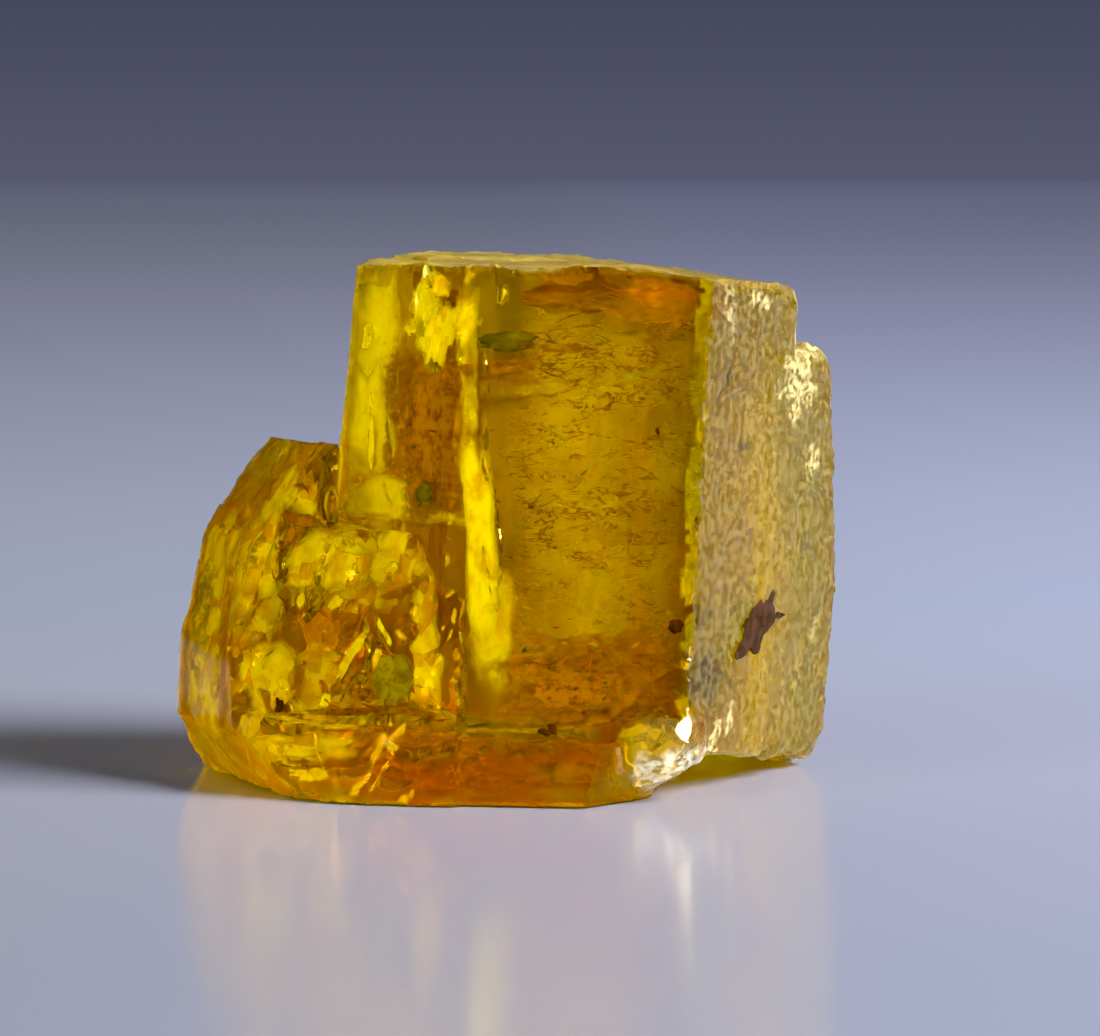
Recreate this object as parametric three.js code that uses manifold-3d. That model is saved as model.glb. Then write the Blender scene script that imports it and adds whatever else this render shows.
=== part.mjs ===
// Rough heliodor: one natural crystal of golden-yellow beryl, standing on its broken base.
// A short hexagonal prism carries a parallel-grown column on its right, a lower ridge on its back
// and a stepped, broken block on its lower left. All of it grew as one stone, so it is one solid.
// Millimetres, +Z up, front of the stone towards -Y. The origin is the middle of the stone's
// footprint box, on the level of the base face.
import * as THREE from 'three';
import { ConvexGeometry } from 'three/addons/geometries/ConvexGeometry.js';
import { mergeVertices } from 'three/addons/utils/BufferGeometryUtils.js';
import Module from 'manifold-3d';

// ---- driving dimensions ------------------------------------------------------------------
const C_AXIS_LEAN = 3.2;        // degrees, the crystal's long axis leans to +X
const FRONT_AZIMUTH = 6;        // degrees, where the widest prism face looks (0 = -Y, + = to +X)
const HEX = 60;                 // degrees between neighbouring prism faces of beryl
const TOP_Z = 14.95;            // height of the level top face
const COLUMN_TOP_Z = 12.40;     // crest of the parallel column on the right
const TERRACE_STEP = 0.09;      // low growth terrace on the back half of the top face
const LEDGE_Z = 7.52;           // step where the upper prism stands on the lower block
const BLOCK_TOP_Z = 10.10;      // peak of the block on the lower left
const RIDGE_TOP_Z = 11.3;       // top of the ridge on the back
const FOOT_TOP_Z = 1.95;        // top of the thin foot layer
const UNDERSIDE_GAP = 0.30;     // clearance under the right-hand column
const LOBE_RADII = [1.36, 1.22, 1.16];      // rounded shell-fracture lobe, lower right front
const LOBE_CENTRE = [4.15, -4.72, 1.62];
const SHIFT = [0.0300, -0.3111, 0];         // moves the footprint's middle to the origin

const F0 = FRONT_AZIMUTH, F60 = F0 + HEX, F120 = F0 + 2 * HEX, F180 = F0 + 3 * HEX, F240 = F0 + 4 * HEX, F300 = F0 - HEX;

// ---- helpers -----------------------------------------------------------------------------
const rad = THREE.MathUtils.degToRad;

// A bounding plane: outward normal by azimuth (0 = -Y, 90 = +X) and elevation, through a point.
// "leaning" planes belong to the crystal's own axes and lean with them.
function plane(azimuth, elevation, point, leaning = false) {
  const a = rad(azimuth), e = rad(elevation);
  const n = new THREE.Vector3(Math.sin(a) * Math.cos(e), -Math.cos(a) * Math.cos(e), Math.sin(e));
  if (leaning) n.applyAxisAngle(new THREE.Vector3(0, 1, 0), rad(C_AXIS_LEAN));
  return { n, d: n.dot(new THREE.Vector3(...point)) };
}
const crystal = (azimuth, elevation, point) => plane(azimuth, elevation, point, true);

// The corners of the convex body inside all the planes, then its hull.
function body(planes) {
  const corners = [];
  for (let i = 0; i < planes.length; i++)
    for (let j = i + 1; j < planes.length; j++)
      for (let k = j + 1; k < planes.length; k++) {
        const [a, b, c] = [planes[i], planes[j], planes[k]];
        const bc = new THREE.Vector3().crossVectors(b.n, c.n);
        const det = a.n.dot(bc);
        if (Math.abs(det) < 1e-6) continue;
        const p = bc.multiplyScalar(a.d)
          .addScaledVector(new THREE.Vector3().crossVectors(c.n, a.n), b.d)
          .addScaledVector(new THREE.Vector3().crossVectors(a.n, b.n), c.d)
          .divideScalar(det);
        if (planes.every((q) => q.n.dot(p) - q.d < 1e-6) && !corners.some((q) => q.distanceTo(p) < 1e-5)) corners.push(p);
      }
  return new ConvexGeometry(corners);
}

const FLOOR = plane(0, -90, [0, 0, 0]);

// ---- main prism --------------------------------------------------------------------------
const rightFace = crystal(F60, 0, [5.52, -5.40, 10.1]);   // shared by the prism and the column
const underside = plane(-24, -83.5, [8.8, 3.07, UNDERSIDE_GAP]);

const prism = body([
  crystal(F0, 0, [5.52, -5.40, 10.1]),          // wide front face
  plane(-13, -1.7, [-0.60, -5.95, 14.0]),       // narrow strip that widens downwards
  plane(-57, 1.8, [-1.20, -5.81, 14.0]),        // left face
  plane(-95, 6.1, [-4.56, -0.8, 12.0]),         // second-order bevel on the left corner
  crystal(F240 - 360, 2.5, [-3.85, 3.0, 12.0]), // back left face
  crystal(F180, 0, [1.0, 5.65, 10.0]),          // back face
  crystal(F120, 0, [6.6, 3.6, 10.0]),           // back right face
  rightFace,
  plane(0, 90, [0, 0, TOP_Z]),                  // basal top face
  plane(84, 79, [3.71, -5.85, TOP_Z + 0.02]),   // its right half falls away in two shallow steps
  plane(102, 82, [3.71, -5.85, TOP_Z + 0.02]),
  plane(-80, 45, [-4.38, -0.8, 14.92]),         // worn top left corner
  plane(84, 45, [7.97, 0.12, 14.12]),           // broken top right corner
  plane(95, 0, [8.36, 0.6, 13.0]),              // worn right edge
  plane(36, -40, [4.75, -4.8, 0.85]),           // lower right corner, broken under
  underside,
  FLOOR,
]);

// low terrace on the top face, set in from the back edges
const terrace = body([
  plane(90, 89.2, [-0.30, 0.0, TOP_Z + TERRACE_STEP]),
  crystal(14, 0, [0.0, 0.6, 14.0]),
  crystal(-70, 0, [-2.9, 1.5, 14.0]),
  plane(95, 30, [2.5, 0.0, 14.90]),
  crystal(F240 - 360, 0, [-3.1, 3.6, 14.0]),
  crystal(F180, 0, [1.0, 5.30, 14.0]),
  crystal(F120, 0, [2.6, 5.3, 14.0]),
  crystal(0, -90, [0, 0, 13.0]),
]);

// ---- parallel column on the right --------------------------------------------------------
const column = body([
  rightFace,
  plane(F120, 6.5, [10.62, 3.17, 6.0]),         // its outer face bulges a little at mid height
  plane(F120, -5.2, [10.60, 3.29, 5.2]),
  crystal(F180, 0, [6.5, 6.95, 8.0]),
  crystal(F240, 0, [2.8, 5.0, 8.0]),
  crystal(F300, 0, [3.2, 0.0, 8.0]),
  plane(8, -2.0, [7.5, -1.1, 8.0]),
  plane(75, 58, [8.78, 2.8, COLUMN_TOP_Z]),     // worn shoulder
  plane(75, 44, [9.06, 2.8, COLUMN_TOP_Z - 0.23]),
  plane(78, 14, [9.44, 2.8, COLUMN_TOP_Z - 0.65]),
  plane(140, 35, [7.6, 5.5, 11.6]),
  plane(30, 86, [8.4, 2.0, COLUMN_TOP_Z - 0.10]),
  underside,
  plane(105, -40, [9.36, 3.1, 0.62]),
  FLOOR,
]);

// ---- broken block on the lower left ------------------------------------------------------
const blockFront = plane(-34, 15, [-4.34, -5.43, 0.0]);
const blockLeft = [
  plane(-68, 3, [-9.86, 3.00, 3.14]),
  plane(-67, 14, [-9.40, 3.00, 5.55]),
  plane(-66, 30, [-8.41, 2.60, 7.64]),
];
const blockBackLeft = plane(-128, 6, [-8.9, 3.4, 3.0]);
const undercut = [plane(-72, -42, [-9.0, 1.0, 0.9]), plane(-68, -32, [-9.68, 3.0, 1.24]), plane(-34, -40, [-5.6, -4.75, 0.15])];

const lowerBlock = body([
  blockFront, ...blockLeft, blockBackLeft, ...undercut, FLOOR,
  plane(-9, 4, [-3.2, -5.85, 0.0]),
  plane(185, 4, [-5.0, 4.4, 3.0]),
  plane(58, 0, [-1.35, -6.0, 2.0]),
  crystal(0, 90, [-4.0, -2.0, LEDGE_Z]),
]);

const upperBlock = body([
  blockFront, ...blockLeft, blockBackLeft,
  plane(-60, 52, [-7.32, 1.50, 9.26]),
  plane(-80, 70, [-6.37, -0.94, BLOCK_TOP_Z]),
  plane(185, 12, [-5.6, 3.5, 6.0]),
  plane(100, -4, [-4.92, -1.5, 8.0]),
  plane(116, 73, [-6.37, -0.94, BLOCK_TOP_Z]),
  plane(0, -90, [0, 0, 3.0]),
]);

// behind the notch the block's top runs on into the prism
const saddle = body([
  plane(-8, 6, [-4.5, -0.25, 8.5]),
  plane(116, 73, [-6.37, -0.94, BLOCK_TOP_Z - 0.02]),
  plane(185, 12, [-5.6, 3.2, 6.0]),
  plane(-75, 5, [-6.4, 1.0, 8.0]),
  plane(90, 0, [-2.5, 0, 0]),
  plane(0, -90, [0, 0, 4.0]),
]);

// ---- thin foot layer and the ridge on the back -------------------------------------------
const foot = body([
  plane(-9, 0, [2.0, -6.38, 0.0]),
  plane(-34, 0, [-4.4, -5.55, 1.0]),
  ...undercut, FLOOR, blockLeft[0],
  crystal(0, 90, [-2.0, -6.0, FOOT_TOP_Z]),
  plane(52, -14, [2.85, -5.8, 0.6]),
  plane(84, -8, [4.2, -3.5, 0.5]),
  plane(180, 0, [0, 2.0, 0]),
]);

const ridge = body([
  crystal(F180, 0, [0.2, 6.25, 8.0]),
  crystal(F240, 0, [-3.0, 5.0, 8.0]),
  crystal(F120, 0, [2.2, 5.9, 8.0]),
  crystal(F0, 0, [0, 2.0, 8.0]),
  crystal(F60, 0, [3.0, 3.0, 8.0]),
  crystal(F300, 0, [-3.5, 3.0, 8.0]),
  crystal(0, 90, [0.0, 6.0, RIDGE_TOP_Z]),
  plane(F180, 48, [0.0, 6.1, RIDGE_TOP_Z - 0.25]),
  plane(190, -60, [0.0, 5.9, 1.2]),
  FLOOR,
]);

// ---- rounded lobe left by a shell-shaped fracture ----------------------------------------
const lobe = new THREE.SphereGeometry(1, 28, 18);
lobe.scale(...LOBE_RADII);
lobe.rotateZ(rad(-20));
lobe.translate(...LOBE_CENTRE);

// ---- join everything into one solid ------------------------------------------------------
const wasm = await Module();
wasm.setup();

function solid(geometry) {
  const g = geometry.clone();
  g.deleteAttribute('normal');
  g.deleteAttribute('uv');
  const merged = mergeVertices(g, 1e-5);
  return new wasm.Manifold(new wasm.Mesh({
    numProp: 3,
    vertProperties: new Float32Array(merged.attributes.position.array),
    triVerts: new Uint32Array(merged.index.array),
  }));
}

let stone = solid(prism);
for (const part of [terrace, column, lowerBlock, upperBlock, saddle, foot, ridge, lobe]) stone = stone.add(solid(part));

const joined = stone.getMesh();
let geometry = new THREE.BufferGeometry();
geometry.setAttribute('position', new THREE.BufferAttribute(new Float32Array(joined.vertProperties), 3));
geometry.setIndex(new THREE.BufferAttribute(new Uint32Array(joined.triVerts), 1));
geometry.translate(...SHIFT);
geometry.computeVertexNormals();

const crystalMesh = new THREE.Mesh(
  geometry,
  new THREE.MeshStandardMaterial({ color: 0xd9a406, roughness: 0.16, metalness: 0 }),
);
crystalMesh.name = 'heliodor_crystal';

const heliodor = new THREE.Group();
heliodor.add(crystalMesh);

export default heliodor;
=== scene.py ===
import math
import bpy
import numpy as np
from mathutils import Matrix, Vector


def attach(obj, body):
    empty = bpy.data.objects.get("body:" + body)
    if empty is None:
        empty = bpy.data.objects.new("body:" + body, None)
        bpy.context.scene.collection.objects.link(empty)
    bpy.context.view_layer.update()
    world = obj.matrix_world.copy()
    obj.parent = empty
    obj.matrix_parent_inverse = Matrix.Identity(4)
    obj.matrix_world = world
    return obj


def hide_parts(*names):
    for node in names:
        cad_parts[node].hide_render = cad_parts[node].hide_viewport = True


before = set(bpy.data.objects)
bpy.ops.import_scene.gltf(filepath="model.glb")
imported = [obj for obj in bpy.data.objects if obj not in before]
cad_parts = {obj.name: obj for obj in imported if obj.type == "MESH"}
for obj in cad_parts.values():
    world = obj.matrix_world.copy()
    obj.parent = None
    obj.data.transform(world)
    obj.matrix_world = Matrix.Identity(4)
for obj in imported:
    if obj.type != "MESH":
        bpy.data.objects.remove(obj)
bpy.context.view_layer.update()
MM = 0.001

# =====================================================================================
# 1. The stone as a field: convex growth bodies and breaks, each plane with its own relief
# =====================================================================================
LEAN = math.radians(3.2)
SHIFT = np.array([0.0300, -0.3111, 0.0])


def normal(az, el, leaning):
    a, e = math.radians(az), math.radians(el)
    n = np.array([math.sin(a) * math.cos(e), -math.cos(a) * math.cos(e), math.sin(e)])
    if leaning:
        c, s = math.cos(LEAN), math.sin(LEAN)
        n = np.array([[c, 0, s], [0, 1, 0], [-s, 0, c]]) @ n
    return n


# surface kinds, used for relief and later for the material masks
(FRONT, STRIP, LEFT, BEVEL, BACKL, BACK, BACKR, RIGHT, TOP, CHIP, FLOOR, UNDER,
 COLR, COLX, COLTOP, BLKF, BLKL, BLKB, LEDGE, FOOT, LOBE, SCOOP) = range(22)

W, C = False, True
F0, F60, F120, F180, F240, F300 = 6, 66, 126, 186, -114, -54
floor_ = (W, 0, -90, (0, 0, 0), FLOOR)

prism = [
    (C, F0, 0, (5.52, -5.40, 10.1), FRONT),
    (W, -13, -1.7, (-0.60, -5.95, 14.0), STRIP),
    (W, -57, 1.8, (-1.20, -5.81, 14.0), LEFT),
    (W, -95, 6.1, (-4.56, -0.8, 12.0), BEVEL),
    (C, F240, 2.5, (-3.85, 3.0, 12.0), BACKL),
    (C, F180, 0, (1.0, 5.65, 10.0), BACK),
    (C, F120, 0, (6.6, 3.6, 10.0), BACKR),
    (C, F60, 0, (5.52, -5.40, 10.1), RIGHT),
    (W, 0, 90, (0.0, 0.0, 14.95), TOP),
    (W, 84, 79, (3.71, -5.85, 14.97), TOP),
    (W, 102, 82, (3.71, -5.85, 14.97), TOP),
    (W, -80, 45, (-4.38, -0.8, 14.92), CHIP),
    (W, 84, 45, (7.97, 0.12, 14.12), CHIP),
    (W, 95, 0, (8.36, 0.6, 13.0), BACKR),
    (W, 36, -40, (4.75, -4.8, 0.85), UNDER),
    (W, -24, -83.5, (8.8, 3.07, 0.30), UNDER),
    floor_,
]
terrace = [
    (W, 90, 89.2, (-0.30, 0.0, 15.04), TOP),
    (C, 14, 0, (0.0, 0.6, 14.0), TOP),
    (C, -70, 0, (-2.9, 1.5, 14.0), TOP),
    (W, 95, 30, (2.5, 0.0, 14.90), TOP),
    (C, F240, 0, (-3.1, 3.6, 14.0), TOP),
    (C, F180, 0, (1.0, 5.30, 14.0), TOP),
    (C, F120, 0, (2.6, 5.3, 14.0), TOP),
    (C, 0, -90, (0, 0, 13.0), TOP),
]
column = [
    (C, F60, 0, (5.52, -5.40, 10.1), COLR),
    (W, F120, 6.5, (10.62, 3.17, 6.0), COLX),
    (W, F120, -5.2, (10.60, 3.29, 5.2), COLX),
    (C, F180, 0, (6.5, 6.95, 8.0), BACK),
    (C, F240, 0, (2.8, 5.0, 8.0), BACKL),
    (C, F300, 0, (3.2, 0.0, 8.0), LEFT),
    (W, 8, -2.0, (7.5, -1.1, 8.0), COLR),
    (W, 75, 58, (8.78, 2.8, 12.40), COLTOP),
    (W, 75, 44, (9.06, 2.8, 12.17), COLTOP),
    (W, 78, 14, (9.44, 2.8, 11.75), COLTOP),
    (W, 140, 35, (7.6, 5.5, 11.6), COLTOP),
    (W, 30, 86, (8.4, 2.0, 12.30), COLTOP),
    (W, -24, -83.5, (8.8, 3.07, 0.30), UNDER),
    (W, 105, -40, (9.36, 3.1, 0.62), UNDER),
]
bfront = (W, -34, 15, (-4.34, -5.43, 0.0), BLKF)
bleft = [
    (W, -68, 3, (-9.86, 3.00, 3.14), BLKL),
    (W, -67, 14, (-9.40, 3.00, 5.55), BLKL),
    (W, -66, 30, (-8.41, 2.60, 7.64), BLKL),
]
bback = (W, -128, 6, (-8.9, 3.4, 3.0), BLKB)
undercut = [(W, -72, -42, (-9.0, 1.0, 0.9), UNDER), (W, -68, -32, (-9.68, 3.0, 1.24), UNDER), (W, -34, -40, (-5.6, -4.75, 0.15), UNDER)]
lower_block = [
    bfront, *bleft, bback, *undercut, floor_,
    (W, -9, 4, (-3.2, -5.85, 0.0), BLKF),
    (W, 185, 4, (-5.0, 4.4, 3.0), BLKB),
    (W, 58, 0, (-1.35, -6.0, 2.0), BLKF),
    (C, 0, 90, (-4.0, -2.0, 7.52), LEDGE),
]
upper_block = [
    bfront, *bleft, bback,
    (W, -60, 52, (-7.32, 1.50, 9.26), BLKL),
    (W, -80, 70, (-6.37, -0.94, 10.10), BLKL),
    (W, 185, 12, (-5.6, 3.5, 6.0), BLKB),
    (W, 100, -4, (-4.92, -1.5, 8.0), BLKF),
    (W, 116, 73, (-6.37, -0.94, 10.10), LEDGE),
    (W, 0, -90, (0, 0, 3.0), BLKF),
]
saddle = [
    (W, -8, 6, (-4.5, -0.25, 8.5), BLKF),
    (W, 116, 73, (-6.37, -0.94, 10.08), LEDGE),
    (W, 185, 12, (-5.6, 3.2, 6.0), BLKB),
    (W, -75, 5, (-6.4, 1.0, 8.0), BLKL),
    (W, 90, 0, (-2.5, 0, 0), BLKB),
    (W, 0, -90, (0, 0, 4.0), BLKB),
]
foot = [
    (W, -9, 0, (2.0, -6.38, 0.0), FOOT),
    (W, -34, 0, (-4.4, -5.55, 1.0), FOOT),
    *undercut, floor_, bleft[0],
    (C, 0, 90, (-2.0, -6.0, 1.95), LEDGE),
    (W, 52, -14, (2.85, -5.8, 0.6), FOOT),
    (W, 84, -8, (4.2, -3.5, 0.5), FOOT),
    (W, 180, 0, (0, 2.0, 0), BACK),
]
ridge = [
    (C, F180, 0, (0.2, 6.25, 8.0), BACK),
    (C, F240, 0, (-3.0, 5.0, 8.0), BACKL),
    (C, F120, 0, (2.2, 5.9, 8.0), BACKR),
    (C, F0, 0, (0, 2.0, 8.0), BACK),
    (C, F60, 0, (3.0, 3.0, 8.0), BACK),
    (C, F300, 0, (-3.5, 3.0, 8.0), BACK),
    (C, 0, 90, (0.0, 6.0, 11.3), TOP),
    (W, F180, 48, (0.0, 6.1, 11.05), TOP),
    (W, 190, -60, (0.0, 5.9, 1.2), UNDER),
    floor_,
]
BODIES = [prism, terrace, column, lower_block, upper_block, saddle, foot, ridge]

# relief weights in mm for: broad, medium, fine, upright striation, level ripple, terraces
RELIEF = {
    FRONT: (0.012, 0.004, 0.0015, 0.003, 0.002, 0.006),
    STRIP: (0.014, 0.005, 0.001, 0.012, 0.002, 0.003),
    LEFT: (0.014, 0.006, 0.002, 0.010, 0.002, 0.010),
    BEVEL: (0.020, 0.012, 0.004, 0.040, 0.006, 0.030),
    BACKL: (0.030, 0.020, 0.008, 0.050, 0.010, 0.060),
    BACK: (0.030, 0.020, 0.008, 0.045, 0.010, 0.070),
    BACKR: (0.030, 0.025, 0.012, 0.055, 0.010, 0.060),
    RIGHT: (0.022, 0.012, 0.005, 0.003, 0.003, 0.006),
    TOP: (0.060, 0.035, 0.012, 0.000, 0.000, 0.080),
    CHIP: (0.060, 0.070, 0.035, 0.020, 0.020, 0.040),
    FLOOR: (0.0, 0.0, 0.0, 0.0, 0.0, 0.0),
    UNDER: (0.090, 0.080, 0.030, 0.000, 0.020, 0.050),
    COLR: (0.022, 0.016, 0.009, 0.006, 0.004, 0.012),
    COLX: (0.050, 0.055, 0.040, 0.050, 0.010, 0.050),
    COLTOP: (0.080, 0.090, 0.045, 0.050, 0.010, 0.060),
    BLKF: (0.110, 0.040, 0.008, 0.010, 0.010, 0.030),
    BLKL: (0.050, 0.014, 0.004, 0.004, 0.006, 0.012),
    BLKB: (0.100, 0.070, 0.020, 0.020, 0.020, 0.060),
    LEDGE: (0.070, 0.030, 0.006, 0.000, 0.000, 0.020),
    FOOT: (0.034, 0.014, 0.004, 0.000, 0.010, 0.010),
    LOBE: (0.110, 0.060, 0.014, 0.000, 0.030, 0.040),
    SCOOP: (0.020, 0.016, 0.008, 0.000, 0.010, 0.000),
}

# shell-shaped breaks: centre of a sphere that is taken away, its radius
SCOOPS = [
    (-9.2, -8.9, 6.0, 6.15), (-4.9, -9.6, 4.0, 4.45), (-10.6, -3.9, 1.6, 3.15),
    (-12.9, -1.0, 5.9, 4.35), (-7.1, -2.9, 12.0, 3.35), (1.3, -9.1, 0.3, 2.80),
    (6.6, -6.8, 2.2, 1.75), (-8.2, 6.4, 7.9, 3.05),
    (-3.2, 7.9, 0.8, 3.0), (3.6, 9.0, 15.6, 4.2), (9.0, 8.5, 10.4, 2.5), (-5.2, -1.3, 16.4, 1.75),
]


def hash3(ix, iy, iz, seed):
    h = (ix * 374761393 + iy * 668265263 + iz * 2147483647 + seed * 1274126177) & 0xFFFFFFFF
    h = ((h ^ (h >> 13)) * 1274126177) & 0xFFFFFFFF
    h = (h ^ (h >> 16)) & 0xFFFFFFFF
    h = ((h * 2246822519) & 0xFFFFFFFF) ^ (h >> 15)
    return (h & 0xFFFFFF).astype(np.float32) / np.float32(8388607.5) - np.float32(1.0)


def noise(p, seed):
    """smooth value noise in -1..1 at points p (N,3)"""
    i = np.floor(p)
    f = (p - i).astype(np.float32)
    i = i.astype(np.int64)
    u = f * f * f * (f * (f * 6 - 15) + 10)
    out = np.zeros(len(p), np.float32)
    for dx in (0, 1):
        wx = u[:, 0] if dx else 1 - u[:, 0]
        for dy in (0, 1):
            wy = wx * (u[:, 1] if dy else 1 - u[:, 1])
            for dz in (0, 1):
                wz = wy * (u[:, 2] if dz else 1 - u[:, 2])
                out += wz * hash3(i[:, 0] + dx, i[:, 1] + dy, i[:, 2] + dz, seed)
    return out


def basis(p):
    broad = noise(p / 1.7, 1) + 0.5 * noise(p / 0.8, 2)
    medium = noise(p / 0.46, 3)
    fine = noise(p / 0.23, 4)
    q = p.copy(); q[:, 0] -= 0.056 * p[:, 2]
    upright = noise(q / np.array([0.42, 0.42, 6.0]), 5) + 0.5 * noise(q / np.array([0.24, 0.24, 3.0]), 6)
    level = noise(q / np.array([2.2, 2.2, 0.34]), 7)
    t = 3.2 * noise(q / np.array([1.5, 1.5, 2.6]), 8)
    k = np.floor(t); s = t - k
    terr = (k + np.clip((s - 0.86) / 0.14, 0, 1)) / 3.2
    return np.stack([broad, medium, fine, upright, level, terr], 0)


PL, PD, PK, SPAN = [], [], [], []
for b in BODIES:
    start = len(PL)
    for fr, az, el, pt, kind in b:
        n = normal(az, el, fr)
        PL.append(n); PD.append(float(n @ np.array(pt))); PK.append(kind)
    SPAN.append((start, len(PL)))
PL, PD, PK = np.array(PL, np.float32), np.array(PD, np.float32), np.array(PK)
PW = np.array([RELIEF[k] for k in PK], np.float32)
CROSS = np.sqrt(np.clip(1 - (PL @ PL.T) ** 2, 0.03, 1)).astype(np.float32)
SOFT = {SPAN[BODIES.index(foot)][0]: 0.10, SPAN[BODIES.index(column)][0]: 0.20, SPAN[BODIES.index(ridge)][0]: 0.9}     # where bodies run into each other
LOBE_C, LOBE_R, LOBE_A = np.array([4.15, -4.72, 1.62]), np.array([1.36, 1.22, 1.16]), math.radians(-20)


def field(P, want_kind=False):
    """signed distance-like value of the stone at world points in mm (negative inside)"""
    out = np.empty(len(P), np.float32)
    kinds = np.empty(len(P), np.int8) if want_kind else None
    edge = np.empty(len(P), np.float32) if want_kind else None
    for s in range(0, len(P), 120000):
        p = (P[s:s + 120000] - SHIFT)
        nb = basis(p)
        p32 = p.astype(np.float32)
        v = PL @ p32.T - PD[:, None] - PW @ nb          # (planes, n)
        best = np.full(len(p), 1e9, np.float32)
        bk = np.zeros(len(p), np.int64)
        be = np.zeros(len(p), np.float32)
        for a, b in SPAN:
            blk = v[a:b]
            k = blk.argmax(0)
            m1 = np.take_along_axis(blk, k[None], 0)[0]
            tmp = blk.copy(); np.put_along_axis(tmp, k[None], -1e9, 0)
            k2 = tmp.argmax(0)
            m2 = np.take_along_axis(tmp, k2[None], 0)[0]
            e = m1 - m2
            bend = CROSS[a + k, a + k2]                  # sine of the angle between the two planes
            # worn, nibbled edges
            wear = np.maximum(0, nb[1] * 0.55 + nb[2] * 0.45 + 0.10) * 0.11
            hi = np.clip((p32[:, 0] - 4.6) / 0.8, 0, 1)
            wear = wear * (1 + 1.2 * hi) + 0.016
            wear = np.where(p32[:, 2] < 0.12, 0.0, wear)
            m = m1 + wear * bend * np.exp(-(e / (0.16 * bend)) ** 2)
            take = m < best
            bk = np.where(take, k + a, bk); be = np.where(take, e, be)
            if a in SOFT:
                g = np.maximum(SOFT[a] - np.abs(m - best), 0) / SOFT[a]
                best = np.minimum(m, best) - g * g * SOFT[a] / 4
            else:
                best = np.where(take, m, best)
        kind = PK[bk]
        # rounded lobe
        c, sn = math.cos(LOBE_A), math.sin(LOBE_A)
        q = p - LOBE_C
        q = np.stack([c * q[:, 0] + sn * q[:, 1], -sn * q[:, 0] + c * q[:, 1], q[:, 2]], 1) / LOBE_R
        ln = np.linalg.norm(q, axis=1)
        shell = np.linalg.norm(p - np.array([3.2, -5.6, 2.9]), axis=1)
        dl = ((ln - 1) * LOBE_R.mean()).astype(np.float32) - np.array(RELIEF[LOBE], np.float32) @ nb
        dl = dl + 0.022 * np.sin(shell * 14 + 1.5 * nb[0]).astype(np.float32)
        take = dl < best
        g = np.maximum(0.70 - np.abs(dl - best), 0) / 0.70
        best = np.minimum(dl, best) - g * g * 0.70 / 4
        kind = np.where(take, LOBE, kind); be = np.where(take, 1.0, be)
        # shell-shaped breaks with faint ripples
        for j, (x, y, z, r) in enumerate(SCOOPS):
            d = np.linalg.norm(p - np.array([x, y, z]), axis=1).astype(np.float32)
            th = p32[:, (j % 3)] * 1.0 + 0.35 * nb[0]
            rip = 0.012 * np.sin(th * (11 + j % 4)) + np.array(RELIEF[SCOOP], np.float32) @ nb
            g = (r - d) - rip
            take = (g > best) & (p32[:, 2] > 0.02)
            be = np.where(take, g - best, be)
            best = np.where(take, g, best); kind = np.where(take, SCOOP, kind)
        # the flat base stays flat
        z0 = -p32[:, 2]
        take = z0 > best
        best = np.where(take, z0, best); kind = np.where(take, FLOOR, kind)
        out[s:s + 120000] = best
        if want_kind:
            kinds[s:s + 120000] = kind; edge[s:s + 120000] = be
    return (out, kinds, edge) if want_kind else out


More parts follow.
